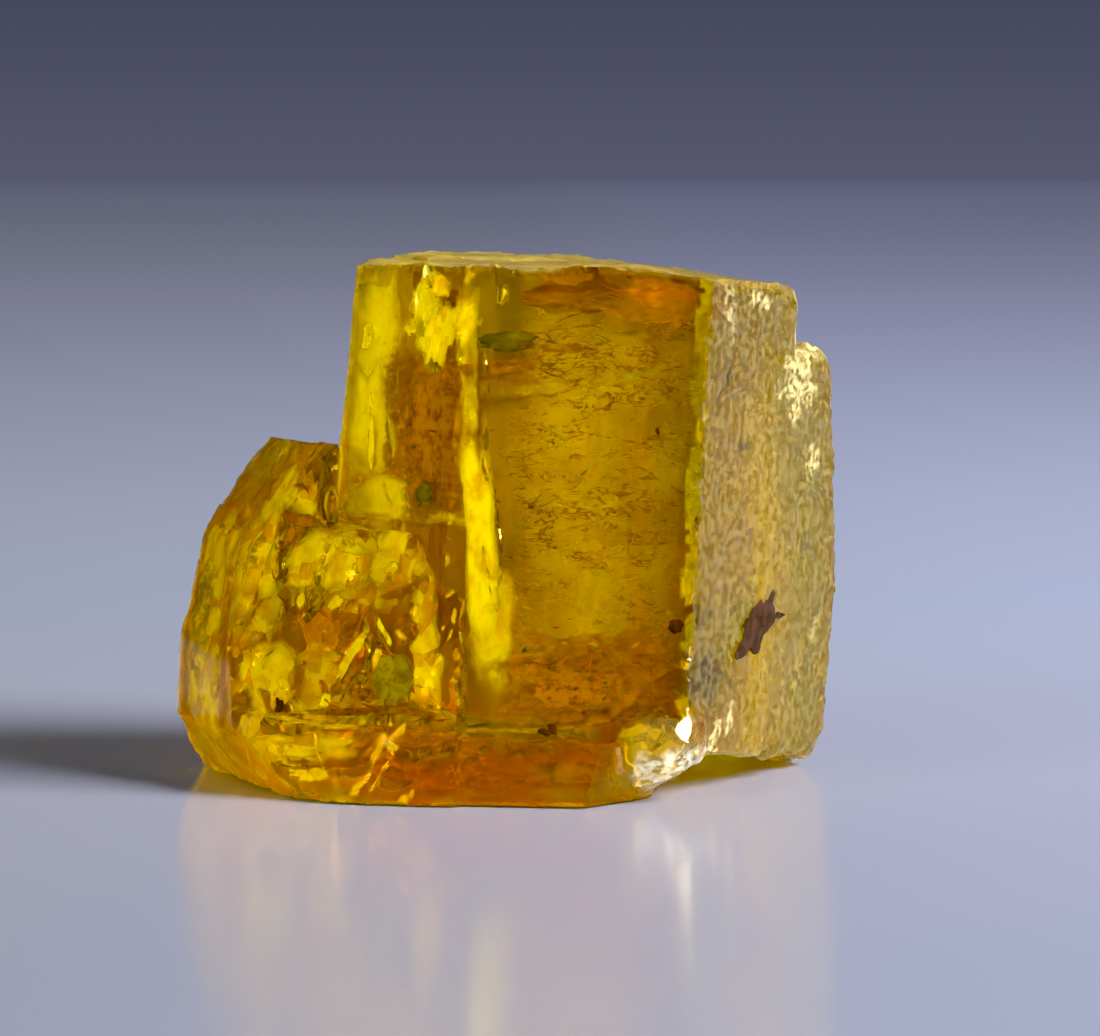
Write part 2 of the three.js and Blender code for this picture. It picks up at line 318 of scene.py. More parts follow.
def contour(f, lo, hi, h):
    """dual contouring of f<0 on a sparse grid; returns vertices and quads"""
    k = 4
    nc = np.ceil((hi - lo) / (h * k)).astype(int) + 1
    n = nc * k + 1
    gx, gy, gz = np.meshgrid(*[np.arange(m) for m in nc], indexing="ij")
    cc = np.stack([gx, gy, gz], -1).reshape(-1, 3)
    fc = f(lo + (cc * k + k / 2) * h)
    F = np.repeat(np.repeat(np.repeat(np.where(fc < 0, -1, 1).astype(np.float32).reshape(nc), k, 0), k, 1), k, 2)
    F = np.pad(F, ((0, 1),) * 3, constant_values=1)
    near = cc[np.abs(fc) < k * h * 0.87 + 0.22] * k
    mask = np.zeros(n, bool)
    for a in range(k + 1):
        for b in range(k + 1):
            for c in range(k + 1):
                mask[near[:, 0] + a, near[:, 1] + b, near[:, 2] + c] = True
    idx = np.argwhere(mask)
    F[mask] = f(lo + idx * h)
    P, cells_of, quads_of = [], [], []
    cn = n - 1
    for ax in range(3):
        sl0 = [slice(None)] * 3; sl1 = [slice(None)] * 3
        sl0[ax], sl1[ax] = slice(0, -1), slice(1, None)
        a, b = F[tuple(sl0)], F[tuple(sl1)]
        cr = ((a < 0) != (b < 0)) & mask[tuple(sl0)] & mask[tuple(sl1)]
        ij = np.argwhere(cr)
        o1, o2 = [(1, 2), (2, 0), (0, 1)][ax]
        ok = (ij[:, o1] > 0) & (ij[:, o2] > 0) & (ij[:, o1] < cn[o1]) & (ij[:, o2] < cn[o2])
        ij = ij[ok]
        fa, fb = F[tuple(sl0)][tuple(ij.T)], F[tuple(sl1)][tuple(ij.T)]
        t0, t1 = np.zeros(len(ij)), np.ones(len(ij))
        e = np.zeros(3); e[ax] = 1
        base = lo + ij * h
        t = fa / (fa - fb)
        for _ in range(2):
            fm = f(base + (t * h)[:, None] * e)
            same = (fm < 0) == (fa < 0)
            t0 = np.where(same, t, t0); fa = np.where(same, fm, fa)
            t1 = np.where(same, t1, t); fb = np.where(same, fb, fm)
            t = t0 + (t1 - t0) * np.clip(fa / (fa - fb + 1e-12), 0.02, 0.98)
        P.append(base + (t * h)[:, None] * e)
        d1 = np.zeros(3, int); d1[o1] = 1
        d2 = np.zeros(3, int); d2[o2] = 1
        cs = np.stack([ij - d1 - d2, ij - d2, ij, ij - d1], 1)           # (m,4,3)
        inside_first = F[tuple(sl0)][tuple(ij.T)] < 0
        cs = np.where(inside_first[:, None, None], cs, cs[:, ::-1])
        cells_of.append(cs)
    P = np.concatenate(P); cells = np.concatenate(cells_of)
    eps = 0.012
    tet = np.array([[1, 1, 1], [1, -1, -1], [-1, 1, -1], [-1, -1, 1]]) * eps
    G = sum(f(P + tt)[:, None] * tt[None] for tt in tet)
    G /= np.linalg.norm(G, axis=1)[:, None] + 1e-12
    flat = (cells[..., 0] * cn[1] + cells[..., 1]) * cn[2] + cells[..., 2]
    uniq, inv = np.unique(flat.reshape(-1), return_inverse=True)
    inv = inv.reshape(flat.shape)
    m = len(uniq)
    cnt = np.bincount(inv.ravel(), minlength=m).astype(float)
    org = lo + h * (np.stack(np.unravel_index(uniq, cn), 1) + 0.5)
    rel = P[:, None, :] - org[inv]
    nn = np.repeat(G[:, None, :], 4, 1)
    dn = (rel * nn).sum(-1)
    def acc(w): return np.bincount(inv.ravel(), weights=w.ravel(), minlength=m)
    A = np.empty((m, 3, 3)); B = np.empty((m, 3)); M = np.empty((m, 3))
    for i in range(3):
        B[:, i] = acc(nn[..., i] * dn); M[:, i] = acc(rel[..., i]) / cnt
        for j in range(i, 3):
            A[:, i, j] = A[:, j, i] = acc(nn[..., i] * nn[..., j])
    w, V = np.linalg.eigh(A)
    wi = np.where(w > 0.08 * w[:, -1:], 1 / np.maximum(w, 1e-9), 0)
    r = B - np.einsum("nij,nj->ni", A, M)
    x = M + np.einsum("nij,nj,nkj,nk->ni", V, wi, V, r)
    x = np.clip(x, -0.56 * h, 0.56 * h)
    return org + x, inv


def make_mesh(name, verts, faces_list):
    """verts in mm; faces_list: list of (k, idx array (m,k))"""
    me = bpy.data.meshes.new(name)
    me.vertices.add(len(verts))
    me.vertices.foreach_set("co", (verts * MM).astype(np.float32).ravel())
    loops = np.concatenate([fc.ravel() for _, fc in faces_list]).astype(np.int32)
    tot = np.concatenate([np.full(len(fc), k, np.int32) for k, fc in faces_list])
    st = np.concatenate([[0], np.cumsum(tot)[:-1]]).astype(np.int32)
    me.loops.add(len(loops)); me.loops.foreach_set("vertex_index", loops)
    me.polygons.add(len(tot)); me.polygons.foreach_set("loop_start", st)
    me.update(calc_edges=True)
    me.validate()
    ob = bpy.data.objects.new(name, me)
    bpy.context.scene.collection.objects.link(ob)
    return ob


# =====================================================================================
# 2. Camera, floor, light
# =====================================================================================
scene = bpy.context.scene
cam_data = bpy.data.cameras.new("camera")
cam = bpy.data.objects.new("camera", cam_data)
scene.collection.objects.link(cam)
cam_data.lens, cam_data.sensor_width = 178.2, 36.0
cam_data.clip_start, cam_data.clip_end = 0.005, 3.0
cam.location = Vector((1.260, -156.311, 19.4)) * MM
cam.rotation_euler = (math.radians(90 - 4.346), 0, 0)
scene.camera = cam

scene.view_settings.view_transform = "Standard"
scene.view_settings.look = "None"
scene.view_settings.use_curve_mapping = True
scene.view_settings.curve_mapping.black_level = (0.0, 0.003, 0.040)
scene.view_settings.curve_mapping.update()
scene.cycles.max_bounces = 10
scene.cycles.transmission_bounces = 10
scene.cycles.glossy_bounces = 9
scene.cycles.diffuse_bounces = 3
scene.cycles.transparent_max_bounces = 16
scene.cycles.sample_clamp_indirect = 12.0


def new_mat(name):
    m = bpy.data.materials.new(name)
    m.use_nodes = True
    m.node_tree.nodes.clear()
    return m, m.node_tree.nodes, m.node_tree.links


def math_node(nodes, links, op, a, b=None, c=None, clamp=False):
    """one arithmetic node; arguments are sockets or numbers; returns the output socket"""
    n = nodes.new("ShaderNodeMath")
    n.operation = op
    n.use_clamp = clamp
    for i, x in enumerate((a, b, c)):
        if x is None:
            continue
        if isinstance(x, (int, float)):
            n.inputs[i].default_value = float(x)
        else:
            links.new(x, n.inputs[i])
    return n.outputs[0]


def area(name, az, el, dist, size, power, colour=(1, 1, 1), target=(0, 0, 7)):
    d = bpy.data.lights.new(name, "AREA")
    d.shape, d.size, d.energy, d.color = "DISK", size, power, colour
    o = bpy.data.objects.new(name, d)
    scene.collection.objects.link(o)
    a, e = math.radians(az), math.radians(el)
    v = Vector((math.sin(a) * math.cos(e), -math.cos(a) * math.cos(e), math.sin(e)))
    o.location = Vector(target) * MM + v * dist
    o.rotation_mode = "QUATERNION"
    o.rotation_quaternion = v.to_track_quat("Z", "Y")
    return o


key = area("key", 62, 32, 0.38, 0.20, 6.2, (1.0, 0.985, 0.96))

# a low, broad, gentle reply from the front left, almost level with the table
fill = area("fill", -45, 3, 0.70, 0.30, 8.7, (1.0, 0.97, 0.90), (-1.5, 0, 7))

sweep = area("sweep", 0, 0, 0.1, 0.5, 0.9)
sweep.location = (0.0, 0.85, 0.62)
sweep.rotation_quaternion = Vector((0, -0.25, 1)).to_track_quat("Z", "Y")

world = bpy.data.worlds.new("studio")
scene.world = world
world.use_nodes = True
wn, wl = world.node_tree.nodes, world.node_tree.links
wn.clear()
tc = wn.new("ShaderNodeTexCoord")
sep = wn.new("ShaderNodeSeparateXYZ")
bg = wn.new("ShaderNodeBackground")
wo = wn.new("ShaderNodeOutputWorld")
wl.new(tc.outputs["Generated"], sep.inputs[0])


def world_ramp(lo, hi, stops):
    mr = wn.new("ShaderNodeMapRange")
    mr.inputs["From Min"].default_value, mr.inputs["From Max"].default_value = lo, hi
    ramp = wn.new("ShaderNodeValToRGB")
    wl.new(sep.outputs["Z"], mr.inputs["Value"])
    wl.new(mr.outputs[0], ramp.inputs[0])
    el = ramp.color_ramp.elements
    for k, (p, c) in enumerate(stops):
        e = el[k] if k < 2 else el.new(0.5)
        e.position = p
        e.color = (*c, 1)
    return ramp.outputs[0]


# a dim slate room: lighter haze right at the horizon, darker just above it
near = world_ramp(-0.014, 0.030, [(0.0, (0.096, 0.102, 0.195)), (1.0, (0.052, 0.058, 0.134)), (0.45, (0.073, 0.079, 0.160))])
far = world_ramp(0.0, 1.0, [(0.03, (0.052, 0.058, 0.140)), (1.0, (0.12, 0.125, 0.19)), (0.12, (0.080, 0.085, 0.16))])
mx = wn.new("ShaderNodeMix")
mx.data_type = "RGBA"
sw = wn.new("ShaderNodeMath")
sw.operation = "GREATER_THAN"
sw.inputs[1].default_value = 0.030
wl.new(sep.outputs["Z"], sw.inputs[0])
wl.new(sw.outputs[0], mx.inputs["Factor"])
wl.new(near, mx.inputs["A"])
wl.new(far, mx.inputs["B"])
wl.new(mx.outputs["Result"], bg.inputs[0])
wl.new(bg.outputs[0], wo.inputs[0])
bg.inputs["Strength"].default_value = 1.0

bm_floor = bpy.data.meshes.new("floor")
R_, N_ = 1.25, 96
fv = [(R_ * math.cos(2 * math.pi * i / N_), R_ * math.sin(2 * math.pi * i / N_), 0) for i in range(N_)]
bm_floor.from_pydata(fv, [], [tuple(range(N_))])
floor = bpy.data.objects.new("floor", bm_floor)
scene.collection.objects.link(floor)
fm, fn, fl = new_mat("floor")
fo = fn.new("ShaderNodeOutputMaterial")
fb = fn.new("ShaderNodeBsdfPrincipled")
ft = fn.new("ShaderNodeTexCoord")
fs = fn.new("ShaderNodeSeparateXYZ")
fr = fn.new("ShaderNodeMapRange")
fc = fn.new("ShaderNodeValToRGB")
fr.inputs["From Min"].default_value, fr.inputs["From Max"].default_value = -0.10, 1.30
fl.new(ft.outputs["Object"], fs.inputs[0])
fl.new(fs.outputs["Y"], fr.inputs["Value"])
fl.new(fr.outputs[0], fc.inputs[0])
# painted light: the sheet's colour ramps from dark just in front of the stone to pale farther back, a painted
# brightness falloff rather than a colour of the sheet
el = fc.color_ramp.elements
el[0].position, el[0].color = 0.0, (0.135, 0.142, 0.190, 1)
el[1].position, el[1].color = 1.0, (0.50, 0.53, 0.70, 1)
for pos, c in ((0.0464, (0.178, 0.192, 0.250, 1)), (0.061, (0.207, 0.216, 0.278, 1)), (0.0886, (0.261, 0.276, 0.349, 1)),
               (0.112, (0.279, 0.313, 0.399, 1)), (0.151, (0.333, 0.362, 0.465, 1)), (0.214, (0.387, 0.416, 0.544, 1)),
               (0.357, (0.507, 0.523, 0.689, 1)), (0.479, (0.524, 0.549, 0.690, 1)), (0.643, (0.478, 0.512, 0.656, 1)),
               (0.836, (0.50, 0.53, 0.69, 1))):
    e = el.new(pos)
    e.color = c
# painted light: the sheet is painted bluer and paler towards its right, as if more lit from that side
fx = fn.new("ShaderNodeMapRange")
fx.interpolation_type = "SMOOTHSTEP"
fx.inputs["From Min"].default_value, fx.inputs["From Max"].default_value = -0.014, 0.024
fl.new(fs.outputs["X"], fx.inputs["Value"])
fg = fn.new("ShaderNodeMix")
fg.data_type, fg.blend_type = "RGBA", "MULTIPLY"
fg.inputs["B"].default_value = (1.08, 1.10, 1.17, 1)
fl.new(fx.outputs[0], fg.inputs["Factor"])
fl.new(fc.outputs[0], fg.inputs["A"])
fl.new(fg.outputs["Result"], fb.inputs["Base Color"])
fb.inputs["Roughness"].default_value = 0.15
fb.inputs["IOR"].default_value = 1.45
fd = fn.new("ShaderNodeBsdfDiffuse")
fl.new(fg.outputs["Result"], fd.inputs["Color"])
fm_ = fn.new("ShaderNodeMixShader")
fm_.inputs[0].default_value = 0.22
fl.new(fb.outputs[0], fm_.inputs[1])
fl.new(fd.outputs[0], fm_.inputs[2])
fl.new(fm_.outputs[0], fo.inputs[0])
bm_floor.materials.append(fm)
floor.location.z = -0.00006        # a hair of air under the stone

# =====================================================================================
# 3. The stone
# =====================================================================================
v, q = contour(field, np.array([-10.2, -7.4, -0.35]), np.array([10.2, 7.4, 15.7]), 0.134)
v[:, 2] = np.where(v[:, 2] < 0.03, 0.0, v[:, 2])
_, kinds, edge = field(v, True)
kinds = kinds.astype(int)

# healed cracks: thin lens-shaped gaps with a wavy, ragged outline, closed shells whose
# skin faces into the gap.  (centre, azimuth and rise of the plane's normal, turn in the
# plane, half length, half width, curl, waviness, stain)
rng = np.random.default_rng(41)
CRACK = 22
CRACKS = [
    # left block: the pair of planes that meet in a ridge, and steps between them
    ((-4.02, -3.10, 3.77), 27, 12, 59, 1.45, 0.20, 0.06, 0.04, 0.0, 0.05),
    ((-3.72, -3.05, 3.45), 30, 12, 60, 0.60, 0.16, 0.06, 0.04, 0.0, 0.05),
    ((-3.13, -3.35, 4.40), 30, 12, -62, 0.80, 0.08, 0.05, 0.03, 0.0, 0.05),
    ((-3.05, -2.60, 3.60), -40, 16, -58, 1.35, 0.70, -0.08, 0.05, 0.8, 0.10),
    ((-3.60, -2.10, 2.90), 8, 34, 10, 1.40, 0.90, 0.12, 0.07, 0.9, 0.10),
    ((-5.20, -2.20, 5.60), 45, -12, 20, 1.15, 0.75, 0.10, 0.06, 0.2, 0.10),
    ((-6.30, -1.00, 6.60), 50, -16, 75, 1.45, 0.80, -0.10, 0.06, 0.8, 0.15),
    ((-6.90, -0.40, 4.90), 44, -20, 80, 1.60, 0.70, 0.10, 0.06, 0.7, 0.15),
    ((-6.10, -2.40, 2.40), 28, 44, -20, 1.20, 0.80, -0.12, 0.07, 0.5, 0.15),
    ((-4.60, 0.80, 6.20), 64, 8, 30, 1.60, 1.10, 0.10, 0.06, 0.4, 0.20),
    ((-3.10, 0.60, 4.80), 70, -25, 60, 1.40, 1.00, 0.12, 0.07, 0.8, 0.15),
    ((-2.60, -1.20, 6.60), 60, -10, 85, 1.20, 0.60, 0.10, 0.05, 0.6, 0.15),
    ((-3.00, -3.60, 2.45), 28, 12, 88, 0.32, 0.06, 0.03, 0.02, 0.0, 0.03),
    ((-2.35, -4.00, 2.60), 30, 10, 92, 0.30, 0.05, 0.03, 0.02, 0.0, 0.03),
    ((-1.80, -4.30, 2.95), 30, 11, 84, 0.48, 0.09, 0.03, 0.02, 0.0, 0.03),
    ((-3.00, -3.30, 6.10), 27, 12, 20, 0.22, 0.17, 0.02, 0.02, 0.0, 0.12),
    ((-5.50, -1.90, 5.20), 27, 12, 80, 0.20, 0.13, 0.02, 0.02, 0.0, 0.08),
    ((-4.50, -2.60, 5.15), 27, 12, 10, 0.22, 0.12, 0.02, 0.02, 0.0, 0.08),
    ((-2.25, -3.90, 4.60), 30, 11, 70, 0.26, 0.12, 0.04, 0.03, 0.0, 0.10),
    ((-5.00, -2.20, 6.10), 24, 12, 30, 0.75, 0.50, 0.10, 0.05, 0.0, 0.38),
    ((-3.70, -2.60, 6.35), 24, 12, 0, 0.70, 0.28, 0.10, 0.05, 0.0, 0.38),
    ((-4.50, -2.90, 1.60), 26, 30, 5, 0.70, 0.10, 0.04, 0.03, 0.0, 0.08),
    # flat partings above the base
    ((-3.30, -2.60, 2.06), 0, 87, 0, 2.90, 2.10, 0.03, 0.02, 0.9, 0.10),
    ((0.60, -3.20, 2.02), 30, 86, 20, 2.00, 1.50, 0.03, 0.02, 0.8, 0.10),
    ((-4.60, -2.60, 1.15), 20, 62, 15, 1.90, 0.90, 0.08, 0.06, 0.5, 0.15),
    ((0.80, -4.40, 1.00), 15, 52, -15, 1.60, 0.55, 0.08, 0.06, 0.8, 0.15),
    ((-1.80, -4.40, 1.20), 28, 40, 30, 0.90, 0.40, 0.10, 0.05, 0.7, 0.15),
    # upper prism, left: the bright break and the small lens-shaped gaps
    ((-1.60, -3.05, 13.50), 21, 12, 82, 1.35, 0.88, 0.12, 0.07, 0.0, 0.34),
    ((-1.25, -3.60, 12.45), 21, 12, 70, 0.62, 0.36, 0.06, 0.05, 0.0, 0.30),
    ((-3.45, -0.85, 9.75), 20, 12, 88, 0.42, 0.09, 0.02, 0.01, 0.0, 0.03),
    ((-3.50, -0.70, 12.80), 22, 12, 40, 0.45, 0.25, 0.06, 0.04, 0.0, 0.36),
    ((-3.30, -0.80, 10.70), 24, 10, 80, 0.70, 0.20, 0.06, 0.04, 0.0, 0.36),
    ((-1.35, -3.40, 11.60), 21, 12, 30, 0.10, 0.06, 0.01, 0.01, 0.0, 0.03),
    ((-1.55, -3.10, 11.15), 21, 12, 60, 0.09, 0.05, 0.01, 0.01, 0.0, 0.03),
    ((-0.95, -3.80, 10.55), 24, 11, 80, 0.16, 0.06, 0.01, 0.01, 0.0, 0.03),
    ((-1.15, -3.40, 9.10), 21, 12, 75, 0.18, 0.06, 0.01, 0.01, 0.0, 0.05),
    # the sparkling seam down the left of the main face
    ((-0.45, -5.00, 12.25), 39, 9, 89, 0.32, 0.06, 0.02, 0.02, 0.0, 0.04),
    ((-0.42, -4.95, 11.45), 39, 9, 86, 0.22, 0.05, 0.02, 0.02, 0.0, 0.04),
    ((-0.52, -4.90, 10.15), 38, 9, 80, 0.40, 0.16, 0.05, 0.05, 0.0, 0.22),
    ((-0.47, -4.90, 9.35), 38, 9, 95, 0.40, 0.17, 0.05, 0.05, 0.0, 0.22),
    ((-0.28, -4.90, 8.80), 39, 9, 92, 0.38, 0.06, 0.02, 0.02, 0.0, 0.05),
    ((-0.20, -4.90, 8.10), 39, 9, 88, 0.36, 0.06, 0.02, 0.02, 0.0, 0.05),
    ((-0.08, -4.90, 7.35), 38, 9, 93, 0.50, 0.08, 0.03, 0.03, 0.0, 0.12),
    ((-0.42, -4.80, 6.90), 37, 9, 88, 0.62, 0.24, 0.06, 0.06, 0.0, 0.36),
    ((-0.20, -4.80, 6.00), 37, 9, 80, 0.60, 0.26, 0.06, 0.06, 0.0, 0.36),
    ((0.70, -4.90, 4.35), 39, 10, 20, 0.36, 0.08, 0.03, 0.03, 0.0, 0.10),
    ((1.30, -4.90, 3.75), 39, 10, -30, 0.26, 0.06, 0.03, 0.03, 0.0, 0.10),
    # deeper, stained
    ((1.90, -0.60, 13.90), 200, 62, 10, 1.70, 1.10, 0.10, 0.06, 0.7, 0.20),
    ((4.10, -1.40, 13.70), 160, 58, -20, 1.30, 0.90, 0.10, 0.06, 0.9, 0.20),
    ((3.60, -1.80, 3.10), 20, 30, 10, 1.50, 1.00, 0.12, 0.07, 0.8, 0.20),
    ((5.00, 0.60, 4.60), 75, -20, 50, 1.40, 0.90, 0.10, 0.06, 0.6, 0.20),
]


def frame_of(az, el, turn):
    n = normal(az, el, False)
    u = np.cross([0.0, 0.0, 1.0], n) if abs(n[2]) < 0.98 else np.array([1.0, 0.0, 0.0])
    u /= np.linalg.norm(u)
    w = np.cross(n, u)
    t = math.radians(turn)
    return n, math.cos(t) * u + math.sin(t) * w, -math.sin(t) * u + math.cos(t) * w


def crack(c, az, el, turn, a, b, curl, wavy, seed, rings=7, segs=28, gap=0.011, square=2.0, steps=0.05):
    n, u, w = frame_of(az, el, turn)
    c = np.array(c) + SHIFT
    th = np.arange(segs) * 2 * math.pi / segs
    r = np.random.default_rng(seed)
    ragged = 1 + sum(r.uniform(-1, 1) * 0.20 / k ** 0.6 * np.cos(k * th + r.uniform(0, 6.3)) for k in range(2, 10))
    box = 1 / (np.abs(np.cos(th)) ** square + np.abs(np.sin(th)) ** square) ** (1 / square)
    rim = np.clip(ragged, 0.45, 1.5) * box
    dirs = np.cos(th)[:, None] * a * u + np.sin(th)[:, None] * b * w
    # pull the outline in wherever it would come near the outside
    scale = np.ones(segs)
    for _ in range(14):
        bad = field(c + dirs * (rim * scale)[:, None]) > -0.16
        if not bad.any():
            break
        scale[bad] *= 0.88
    rim = rim * scale
    rho = np.linspace(0, 1, rings + 1)[1:]
    pts = (dirs[None] * rim[None, :, None]) * rho[:, None, None]
    pts = np.concatenate([np.zeros((1, 3)), pts.reshape(-1, 3)]) + c
    rr = np.concatenate([[0.0], np.repeat(rho, segs)])
    lift = curl * a * (rr ** 2) + wavy * (noise(pts / 0.62, seed + 50) + 0.5 * noise(pts / 0.27, seed + 90))
    step = noise(pts / np.array([0.5, 0.5, 0.5]), seed + 7)
    lift = lift + steps * np.round(step * 1.6)
    lift = lift * np.minimum(1, (1.02 - rr) * 6 + 0.4)
    pts = pts + lift[:, None] * n
    half = gap * np.sqrt(np.maximum(1 - rr ** 2, 0)) + 0.0015
    top, bot = pts + half[:, None] * n, pts - half[:, None] * n
    m = len(pts)
    vv = np.concatenate([top, bot])
    tri, quad = [], []
    for s_ in range(segs):
        s2 = (s_ + 1) % segs
        tri.append((0, 1 + s2, 1 + s_)); tri.append((m, m + 1 + s_, m + 1 + s2))
        for k in range(rings - 1):
            i0, i1 = 1 + k * segs + s_, 1 + k * segs + s2
            j0, j1 = i0 + segs, i1 + segs
            quad.append((i0, i1, j1, j0)); quad.append((m + i0, m + j0, m + j1, m + i1))
        i0, i1 = 1 + (rings - 1) * segs + s_, 1 + (rings - 1) * segs + s2
        quad.append((i0, i1, m + i1, m + i0))
    return vv, np.array(tri), np.array(quad)


allv, tris, quads, stain, matt = [v], [], [q], [np.zeros(len(v))], [np.full(len(v), -1.0)]
count = len(v)
jobs = [(c, az, el, tn, a, b, cu, wv, 300 + i, st, ro, 7, 28, 0.011) for i, (c, az, el, tn, a, b, cu, wv, st, ro) in enumerate(CRACKS)]
# small scattered ones, most of them in the broken block
tries = 0
while len(jobs) < len(CRACKS) + 84 and tries < 6000:
    tries += 1
    if rng.random() < 0.72:
        c = rng.uniform([-8.8, -5.0, 0.6], [-2.0, 3.0, 8.6])
    else:
        c = rng.uniform([-3.5, -4.5, 0.6], [8.5, 5.5, 14.0])
    if field((c + SHIFT)[None])[0] > -0.35:
        continue
    a = 0.12 + 0.40 * rng.random() ** 2
    if c[0] < -7.2:
        a *= 0.5
    az = rng.normal(27, 10) if rng.random() < 0.35 else rng.uniform(-70, 150)
    el_ = rng.normal(6, 22)
    jobs.append((tuple(c), az, el_, rng.uniform(0, 180), a, a * rng.uniform(0.25, 0.7), 0.12, 0.02,
                 700 + len(jobs), rng.uniform(0, 0.9), rng.choice([0.04, 0.12, 0.3]), 2, 12, 0.006))
for c, az, el_, tn, a, b, cu, wv, sd, st, ro, ri, sg, gp in jobs:
    cv, ct, cq = crack(c, az, el_, tn, a, b, cu, wv, sd, ri, sg, gp)
    allv.append(cv); tris.append(ct + count); quads.append(cq + count)
    stain.append(np.full(len(cv), st)); matt.append(np.full(len(cv), ro))
    count += len(cv)
skin_n = len(v)
v = np.concatenate(allv)
kinds = np.concatenate([kinds, np.full(count - skin_n, CRACK)])
stain, matt = np.concatenate(stain), np.concatenate(matt)
stone = make_mesh("heliodor", v, [(4, np.concatenate(quads)), (3, np.concatenate(tris))])
me = stone.data
me.shade_smooth()
me.set_sharp_from_angle(angle=math.radians(32))

# roughness and milkiness (share of light scattered at the surface) of each kind of face
SKIN = {
    FRONT: (0.09, 0.0), STRIP: (0.17, 0.0), LEFT: (0.09, 0.0), BEVEL: (0.30, 0.08), BACKL: (0.45, 0.34),
    BACK: (0.46, 0.38), BACKR: (0.46, 0.36), RIGHT: (0.36, 0.0), TOP: (0.32, 0.09), CHIP: (0.40, 0.05),
    FLOOR: (0.60, 0.75), UNDER: (0.30, 0.02), COLR: (0.38, 0.0), COLX: (0.16, 0.0), COLTOP: (0.50, 0.12),
    BLKF: (0.07, 0.0), BLKL: (0.14, 0.0), BLKB: (0.42, 0.30), LEDGE: (0.14, 0.01), FOOT: (0.15, 0.01),
    LOBE: (0.10, 0.02), SCOOP: (0.08, 0.0), CRACK: (0.03, 0.0),
}
ed = np.empty(len(me.edges) * 2, np.int32)
me.edges.foreach_get("vertices", ed)
ed = ed.reshape(-1, 2)


def smooth(a, times):
    deg = np.bincount(ed.ravel(), minlength=len(a)).astype(np.float32)
    for _ in range(times):
        s = (np.bincount(ed[:, 0], weights=a[ed[:, 1]], minlength=len(a))
             + np.bincount(ed[:, 1], weights=a[ed[:, 0]], minlength=len(a)))
        a = 0.5 * a + 0.5 * s / np.maximum(deg, 1)
    return a.astype(np.float32)


def attribute(name, values):
    at = me.attributes.new(name, "FLOAT", "POINT")
    at.data.foreach_set("value", values.astype(np.float32))


p_ = v - SHIFT
x, y, z = p_.T
kinds = np.where((kinds == SCOOP) & (x > 4.8) & (y < 4.0), RIGHT, kinds)
kinds = np.where((kinds == SCOOP) & (y > 2.5), BLKB, kinds)
skin = np.array([SKIN[k] for k in range(23)], np.float32)[kinds]
skin[:, 0] = np.where(matt >= 0, matt, skin[:, 0])
skin[:, 1] = np.where((kinds == FLOOR) & (smooth((kinds == FLOOR).astype(np.float32), 3) < 0.99), 0.0, skin[:, 1])


def patch(cx, cz, rx, rz, turn=0.0, soft=0.5):
    """soft-edged oval on the front or right side, by x and z"""
    t = math.radians(turn)
    u, w = (x - cx) * math.cos(t) + (z - cz) * math.sin(t), -(x - cx) * math.sin(t) + (z - cz) * math.cos(t)
    return np.clip((1 - np.sqrt((u / rx) ** 2 + (w / rz) ** 2)) / soft, 0, 1)


right = np.isin(kinds, [RIGHT, COLR, COLX, COLTOP, CHIP, UNDER]) * (y < 3.5)
# whitened milky patches on the frosted right side and at the lobe's foot, set where the key light glares: partly
# frost, partly painted highlight
glare_frost = np.zeros(len(v))
for cx, cz, rx, rz, tn, amt in ((8.30, 11.2, 0.9, 1.5, 8, 0.75), (8.8, 12.3, 0.8, 0.4, 20, 0.7), (6.30, 13.6, 0.35, 1.3, 4, 0.7),
                                (7.2, 13.9, 0.8, 0.5, -20, 0.55), (5.9, 1.7, 0.22, 1.1, -14, 0.9), (6.35, 2.1, 0.18, 0.9, -10, 0.8),
                                (8.9, 9.2, 0.35, 1.3, 0, 0.5), (8.35, 2.8, 0.9, 1.5, 0, 0.30), (9.0, 4.0, 0.25, 2.0, 0, 0.4), (5.5, 10.8, 0.20, 2.0, 2, 0.4)):
    glare_frost = np.maximum(glare_frost, amt * patch(cx, cz, rx, rz, tn, 0.8))
glare_frost *= right
glare_frost = np.maximum(glare_frost, 0.72 * (kinds == LOBE) * np.clip((2.0 - z) / 0.8, 0, 1) * np.clip((x - 3.2) / 0.8, 0, 1))
low = np.clip((2.3 - z) / 1.0, 0, 1) * np.isin(kinds, [FOOT, FLOOR, UNDER, LEDGE, BLKF, BLKL, SCOOP, FRONT, STRIP, RIGHT])
low = low * np.clip((4.6 - x) / 1.4, 0.25, 1) * np.clip((x + 6.5) / 3.0, 0.35, 1)
low = np.maximum(low, (kinds == UNDER) * (x > 3.5) * 0.8)
low = np.maximum(low, (kinds == FOOT) * np.clip((x + 6.0) / 3.5, 0, 1) * 1.3)
top = np.clip((z - 13.0) / 1.6, 0, 1) * np.isin(kinds, [FRONT, TOP]) * np.clip((x + 1.0) / 2.5, 0.45, 1) * np.where(kinds == TOP, 0.5, 0.25)
blotch = 0.5 + 0.30 * noise(p_ / np.array([1.9, 1.9, 0.75]), 60) + 0.18 * noise(p_ / np.array([0.8, 0.8, 0.3]), 61)
blotch = np.clip((blotch - 0.22) / 0.30, 0, 1)
frost = np.isin(kinds, [RIGHT, COLR, COLX, COLTOP, CHIP, BACK, BACKL, BACKR, BLKB, BEVEL]) | ((kinds == UNDER) & (x > 3.0))
dusty = np.isin(kinds, [RIGHT, COLR, COLX, COLTOP, CHIP]) & (x > 3.0)
rough_ = skin[:, 0]
attribute("rough", smooth(rough_, 2))
attribute("milk", smooth(skin[:, 1], 1))
attribute("glare_frost", smooth(glare_frost.astype(np.float32), 3))
